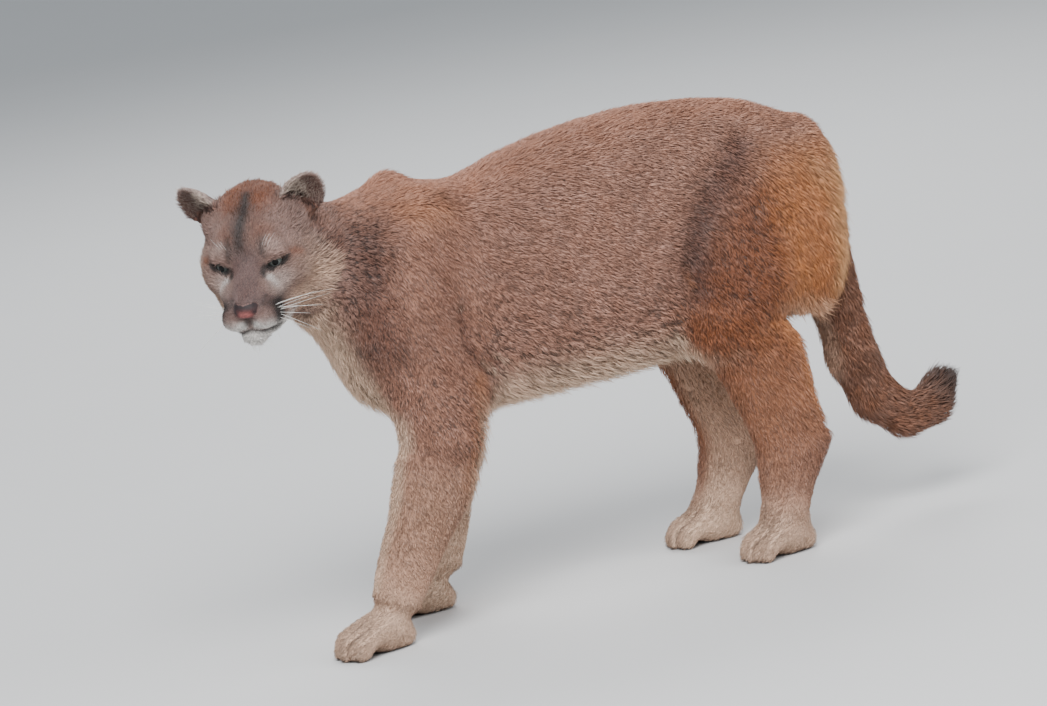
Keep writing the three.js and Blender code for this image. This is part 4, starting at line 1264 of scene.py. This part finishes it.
def make_lids(side):
    """The two lids of one eye as one closed ring that hugs the ball."""
    gaze, inward, up = eye_axes(side)
    t = np.arange(LID_STEPS) / LID_STEPS * 2 * math.pi
    # The inner corner runs out to a point, and the upper lid peaks toward the outer corner
    u = LID_HALF * np.cos(t) + 2.0 * np.maximum(np.cos(t), 0) ** 8
    s = np.sin(t)
    peak = 1 - 0.22 * np.cos(t)
    v = np.where(s > 0, LID_TOP * np.abs(s) ** 0.85 * peak, -LID_BOTTOM * np.abs(s) ** 1.15)
    v = v - 1.6 * np.maximum(np.cos(t), 0) ** 3
    u, v = turned(u, v, LID_TILT)
    edge = np.stack([u, v], 1)
    outward = unit(np.stack([u, v * 1.6], 1))
    rings = []
    for out, high in LID_RINGS:
        flat = edge + outward * out
        radius = EYE_RADIUS + high
        reach = np.linalg.norm(flat, axis=1)
        angle = np.minimum(reach / EYE_RADIUS, 1.45)
        ahead = radius * np.cos(angle)
        sides = flat / np.maximum(reach, 1e-6)[:, None] * (radius * np.sin(angle))[:, None]
        off = ahead[:, None] * gaze + sides[:, :1] * inward + sides[:, 1:] * up
        rings.append(eye_centre(side) + MM * off)
    verts = np.concatenate(rings)
    faces = []
    i = np.arange(LID_STEPS)
    j = (i + 1) % LID_STEPS
    for r in range(len(LID_RINGS)):
        a, b = r * LID_STEPS, (r + 1) % len(LID_RINGS) * LID_STEPS
        faces.append(np.stack([a + i, a + j, b + j, b + i], 1))
    lids = new_piece("lids_" + side, verts, np.concatenate(faces))
    outside = np.repeat([out for out, _ in LID_RINGS], LID_STEPS)[:, None]
    bare = ramp(outside, 4.4, 2.2)
    add_colour(lids, tint("temple") * 0.8 * (1 - bare) + tint("dark") * 0.7 * bare)
    face_outward(lids)
    return lids


HAIR_SUNK = 2


def tapered_hair(spot_at, ahead, droop, length, radius, sides=6, steps=12):
    """One closed bent hair that thins to its tip: all in the head's axes, lengths in mm."""
    ahead, droop = unit(np.array(ahead)) @ HEAD_AXES, np.array(droop) @ HEAD_AXES
    length, radius = length * MM, radius * MM
    root = Hide.of_skin().place(spot_at) - ahead * HAIR_SUNK * MM
    t = np.linspace(0, 1, steps)
    line = root + np.outer(t, ahead) * length + np.outer(t ** 2, droop) * length
    along = unit(np.gradient(line, axis=0))
    flat = unit(np.cross(along, np.array([0.3, 0.2, 1.0])))
    other = np.cross(along, flat)
    turn = np.arange(sides) / sides * 2 * math.pi
    thick = radius * (1 - t) ** 0.7 + 0.05 * MM
    rings = line[:, None] + thick[:, None, None] * (np.cos(turn)[None, :, None] * flat[:, None]
                                                    + np.sin(turn)[None, :, None] * other[:, None])
    verts = np.concatenate([rings.reshape(-1, 3), line[:1], line[-1:]])
    faces = []
    for s in range(steps - 1):
        for i in range(sides):
            j = (i + 1) % sides
            a, b = s * sides, (s + 1) * sides
            faces += [(a + i, a + j, b + j), (a + i, b + j, b + i)]
    last = (steps - 1) * sides
    for i in range(sides):
        j = (i + 1) % sides
        faces += [(len(verts) - 2, j, i), (len(verts) - 1, last + i, last + j)]
    return verts, np.array(faces)


def joined_hairs(name, hairs):
    verts, faces, start = [], [], 0
    for v, f in hairs:
        verts.append(v)
        faces.append(f + start)
        start += len(v)
    return new_piece(name, np.concatenate(verts), np.concatenate(faces))


# Each row of whiskers: its height on the lip in mm, how many, and how much they rise
WHISKER_ROWS = [(-28, 2, 0.34), (-34, 2, 0.12), (-40, 3, -0.08), (-48, 2, -0.60)]


WHISKER_RADIUS = 0.23
BROW_RADIUS = 0.10
CHIN_RADIUS = 0.18


def whiskers_of(sign, rng):
    hairs = []
    for height, count, rise in WHISKER_ROWS:
        for i in range(count):
            spot_at = np.array([110 - 6.5 * i, sign * (38 + 2 * i), height - 1.0 * i])
            ahead = (0.10 - 0.16 * i + rng.normal(0, 0.1), sign * 1.0, rise + rng.normal(0, 0.10))
            droop = (-0.34, 0, -0.20 + rng.normal(0, 0.10))
            hairs.append(tapered_hair(spot_at, ahead, droop, 52 + 12 * i + rng.normal(0, 9), WHISKER_RADIUS))
    return hairs


def brow_hairs(sign, rng):
    hairs = []
    for i in range(3):
        spot_at = np.array([68 + rng.normal(0, 2), sign * (26 + 4 * i), 42])
        ahead = (0.25, sign * (0.25 + 0.1 * i), 1.0)
        droop = (-0.45, sign * 0.2, -0.1)
        hairs.append(tapered_hair(spot_at, ahead, droop, 19 + rng.normal(0, 3), BROW_RADIUS))
    return hairs


def chin_hairs(rng):
    hairs = []
    for _ in range(26):
        spot_at = np.array([122 - rng.random() * 30, rng.normal(0, 14), -74])
        ahead = (0.15, rng.normal(0, 0.5), -1.0)
        hairs.append(tapered_hair(spot_at, ahead, (-0.25, 0, -0.1), 16 + rng.random() * 12, CHIN_RADIUS))
    return hairs


EAR_HAIRS = 1100


def ear_locks(side, rng):
    """Long hairs that cross the cup of the ear from its front edge: pale at the front, painted shade deeper
    in the cup.
    """
    hide = Hide.of_skin()
    sign, count = sign_of(side), EAR_HAIRS
    facing = ear_facing(side)
    keep = hide.on("ear_" + side) & (hide.normals @ facing > 0.1)
    face, share = scatter(hide, keep, count, rng)
    root = along_tri(hide.points, hide, face, share)
    normal = unit(along_tri(hide.normals, hide, face, share))
    over = to_head(root)[:, 1]
    front = ramp(-sign * (over - over.mean()), -6, 10)
    ahead = unit(np.array([-0.1, 0.55 * sign, 0.8]) + rng.normal(0, 0.28, (count, 3))) @ HEAD_AXES
    ahead = unit(along_skin(ahead, normal) + normal * 0.35)
    length = (8 + 8 * front + rng.normal(0, 1.5, count)) * MM
    length *= 0.45 + 0.55 * ramp(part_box("ear_" + side)[1][2] - root[:, 2], 0.004, 0.022)
    half = unit(np.cross(normal, ahead)) * 0.35 * MM
    mid = root + ahead * (length * 0.5)[:, None] + normal * 0.8 * MM
    tip = root + ahead * length[:, None] + facing * 0.4 * MM
    verts = np.stack([root - normal * 0.4 * MM, mid + half, mid - half, mid + normal * 0.3 * MM, tip], 1)
    pale = np.maximum(front * (0.25 + 0.6 * rng.random(count)), 0.35 * rng.random(count))
    # Hairs that are not pale carry painted shade from the cup
    colour = mixed(np.tile(tint("shade"), (count, 1)), "ear_hair", pale)
    return new_leaves("ear_hair_" + side, verts, np.repeat(colour, 5, axis=0), hide, face, share)


# Settings that a user would change
class CoatSettings(bpy.types.PropertyGroup):
    length: bpy.props.FloatProperty(name="Hair length", description="Share of the natural length",
                                    default=1.0, min=0.2, max=2.0, subtype="FACTOR")
    seed: bpy.props.IntProperty(name="Seed", description="Sets where each tuft falls", default=7, min=0)


class EyeSettings(bpy.types.PropertyGroup):
    iris: bpy.props.FloatVectorProperty(name="Iris", description="Colour of the iris", subtype="COLOR",
                                        size=3, default=(0.062, 0.068, 0.068), min=0, max=1)
    iris_radius: bpy.props.FloatProperty(name="Iris radius", description="From the pupil's middle, in mm",
                                         default=11.2, min=5, max=15)
    pupil_radius: bpy.props.FloatProperty(name="Pupil radius", description="Half of the pupil, in mm",
                                          default=4.6, min=1, max=9)


class StageSettings(bpy.types.PropertyGroup):
    floor: bpy.props.FloatVectorProperty(name="Floor", description="Colour of the floor", subtype="COLOR",
                                         size=3, default=(0.55, 0.55, 0.55), min=0, max=1)
    key: bpy.props.FloatProperty(name="Key light", description="Power of the main light", default=520,
                                 min=0, unit="POWER")
    sky: bpy.props.FloatProperty(name="Sky", description="Strength of the light from all round",
                                 default=0.6, min=0)


class COUGAR_OT_skin(bpy.types.Operator):
    """Lay one closed skin over the solids of flesh, with the coat's markings"""
    bl_idname = "cougar.skin"
    bl_label = "Lay the skin"

    def execute(self, context):
        skin = shape_skin()
        hide = Hide.of_skin()
        add_colour(skin, np.clip(hide.colour, 0, 1))
        leather = skin.data.attributes.new("leather", "FLOAT", "POINT")
        leather.data.foreach_set("value", hide.soft_on(1, "nose").astype(np.float32))
        add_map(skin, hide.uv.reshape(-1, 2))
        cover(skin, skin_finish())
        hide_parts(*FLESH)
        return {"FINISHED"}


class COUGAR_OT_coat(bpy.types.Operator):
    """Grow the coat, one piece for each part of the body"""
    bl_idname = "cougar.coat"
    bl_label = "Grow the coat"

    def execute(self, context):
        settings = context.scene.cougar_coat
        hair = hair_finish()
        for i, (name, row) in enumerate(COAT_PIECES.items()):
            coat = grow_coat(name, *row, settings.length, settings.seed + i)
            cover(coat, hair)
        return {"FINISHED"}


class COUGAR_OT_ears(bpy.types.Operator):
    """Line the cups of the ears with long pale hair"""
    bl_idname = "cougar.ears"
    bl_label = "Line the ears"

    def execute(self, context):
        hair = hair_finish("ear_lining")
        for i, side in enumerate(SIDES):
            cover(ear_locks(side, np.random.default_rng(31 + i)), hair)
        return {"FINISHED"}


class COUGAR_OT_eyes(bpy.types.Operator):
    """Set the two eyes in their sockets"""
    bl_idname = "cougar.eyes"
    bl_label = "Set the eyes"

    def execute(self, context):
        s = context.scene.cougar_eyes
        for side in SIDES:
            ball = make_eye(side)
            gaze = eye_axes(side)[0]
            cover(ball, eye_finish(side, gaze, s.iris, s.iris_radius, s.pupil_radius))
            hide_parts("eye_" + side)
        return {"FINISHED"}


class COUGAR_OT_lids(bpy.types.Operator):
    """Fold the lids over the eyes"""
    bl_idname = "cougar.lids"
    bl_label = "Fold the lids"

    def execute(self, context):
        rim = lid_finish()
        for side in SIDES:
            cover(make_lids(side), rim)
        return {"FINISHED"}


class COUGAR_OT_whiskers(bpy.types.Operator):
    """Set the whiskers on the lips, brows and chin"""
    bl_idname = "cougar.whiskers"
    bl_label = "Set the whiskers"

    def execute(self, context):
        rng = np.random.default_rng(51)
        finish = whisker_finish()
        hairs = {"whiskers_left": whiskers_of(1, rng) + brow_hairs(1, rng),
                 "whiskers_right": whiskers_of(-1, rng) + brow_hairs(-1, rng), "chin_hairs": chin_hairs(rng)}
        for name, made in hairs.items():
            cover(joined_hairs(name, made), finish)
        return {"FINISHED"}


# The camera stands where the photo was taken from, and is aimed by the pixel where the near forepaw stands
CAMERA_AROUND = math.radians(-20)
CAMERA_ABOVE = math.radians(11)
CAMERA_ROLL = math.radians(9)
CAMERA_AWAY = 8.0
PICTURE = (1047, 706)
FOCAL_PIXELS = 5600
SENSOR = 36
NEAR_PAW = (-0.411194, -0.075038, 0.0)
NEAR_PAW_PIXEL = (385, 650)


def set_camera():
    a, e, roll = CAMERA_AROUND, CAMERA_ABOVE, CAMERA_ROLL
    back = np.array([math.sin(a) * math.cos(e), -math.cos(a) * math.cos(e), math.sin(e)])
    level = np.array([math.cos(a), math.sin(a), 0])
    upright = np.cross(back, level)
    right = math.cos(roll) * level - math.sin(roll) * upright
    up = math.sin(roll) * level + math.cos(roll) * upright
    across = (NEAR_PAW_PIXEL[0] - PICTURE[0] / 2) / FOCAL_PIXELS * CAMERA_AWAY
    below = (NEAR_PAW_PIXEL[1] - PICTURE[1] / 2) / FOCAL_PIXELS * CAMERA_AWAY
    place = np.array(NEAR_PAW) + back * CAMERA_AWAY - across * right + below * up
    camera = bpy.data.objects.new("camera", bpy.data.cameras.new("camera"))
    bpy.context.scene.collection.objects.link(camera)
    camera.data.sensor_width = SENSOR
    camera.data.lens = SENSOR * FOCAL_PIXELS / PICTURE[0]
    camera.data.clip_end = 100
    turn = Matrix((Vector(right), Vector(up), Vector(back))).transposed().to_4x4()
    camera.matrix_world = Matrix.Translation(Vector(place)) @ turn
    bpy.context.scene.camera = camera


FLOOR_SIZE = 60
SKY_COLOUR = (0.86, 0.93, 1.0, 1)
# Each light: its name, its share of the key light's power, its size and its place
LIGHTS = [("key", 1.0, 3.2, (-1.6, -3.4, 4.2)), ("fill", 0.25, 4.0, (3.4, -2.6, 2.4)),
          ("behind", 0.35, 3.0, (1.2, 3.6, 3.6))]


def set_light(name, power, size, place, toward=(0, 0, 0.4)):
    light = bpy.data.objects.new(name, bpy.data.lights.new(name, "AREA"))
    bpy.context.scene.collection.objects.link(light)
    light.data.energy = power
    light.data.size = size
    light.location = place
    light.rotation_euler = (Vector(toward) - Vector(place)).to_track_quat("-Z", "Y").to_euler()


class COUGAR_OT_stage(bpy.types.Operator):
    """Set the floor, the lights and the camera"""
    bl_idname = "cougar.stage"
    bl_label = "Set the stage"

    def execute(self, context):
        s = context.scene.cougar_stage
        bpy.ops.object.select_all(action="DESELECT")
        bpy.ops.mesh.primitive_plane_add(size=FLOOR_SIZE, location=(0, 0, 0))
        floor = context.object
        floor.name = "floor"
        floor.data.materials.append(floor_finish(tuple(s.floor)))
        world = bpy.data.worlds.new("studio")
        context.scene.world = world
        world.use_nodes = True
        sky = world.node_tree.nodes["Background"]
        sky.inputs[0].default_value = SKY_COLOUR
        sky.inputs[1].default_value = s.sky
        for name, share, size, place in LIGHTS:
            set_light(name, s.key * share, size, place)
        set_camera()
        return {"FINISHED"}


class COUGAR_PT_panel(bpy.types.Panel):
    bl_idname = "COUGAR_PT_panel"
    bl_label = "Cougar"
    bl_space_type = "VIEW_3D"
    bl_region_type = "UI"
    bl_category = "Cougar"

    def draw(self, context):
        for settings in (context.scene.cougar_coat, context.scene.cougar_eyes, context.scene.cougar_stage):
            for key in settings.__annotations__:
                self.layout.prop(settings, key)
        for operator in OPERATORS:
            self.layout.operator(operator.bl_idname)


OPERATORS = (COUGAR_OT_skin, COUGAR_OT_coat, COUGAR_OT_ears, COUGAR_OT_eyes, COUGAR_OT_lids,
             COUGAR_OT_whiskers, COUGAR_OT_stage)
GROUPS = {"cougar_coat": CoatSettings, "cougar_eyes": EyeSettings, "cougar_stage": StageSettings}


def register():
    for cls in (*GROUPS.values(), *OPERATORS, COUGAR_PT_panel):
        bpy.utils.register_class(cls)
    for name, group in GROUPS.items():
        setattr(bpy.types.Scene, name, bpy.props.PointerProperty(type=group))


def unregister():
    for name in GROUPS:
        delattr(bpy.types.Scene, name)
    for cls in reversed((*GROUPS.values(), *OPERATORS, COUGAR_PT_panel)):
        bpy.utils.unregister_class(cls)


def main():
    register()
    bpy.ops.cougar.skin()
    bpy.ops.cougar.coat()
    bpy.ops.cougar.ears()
    bpy.ops.cougar.eyes()
    bpy.ops.cougar.lids()
    bpy.ops.cougar.whiskers()
    bpy.ops.cougar.stage()


if __name__ == "__main__":
    main()
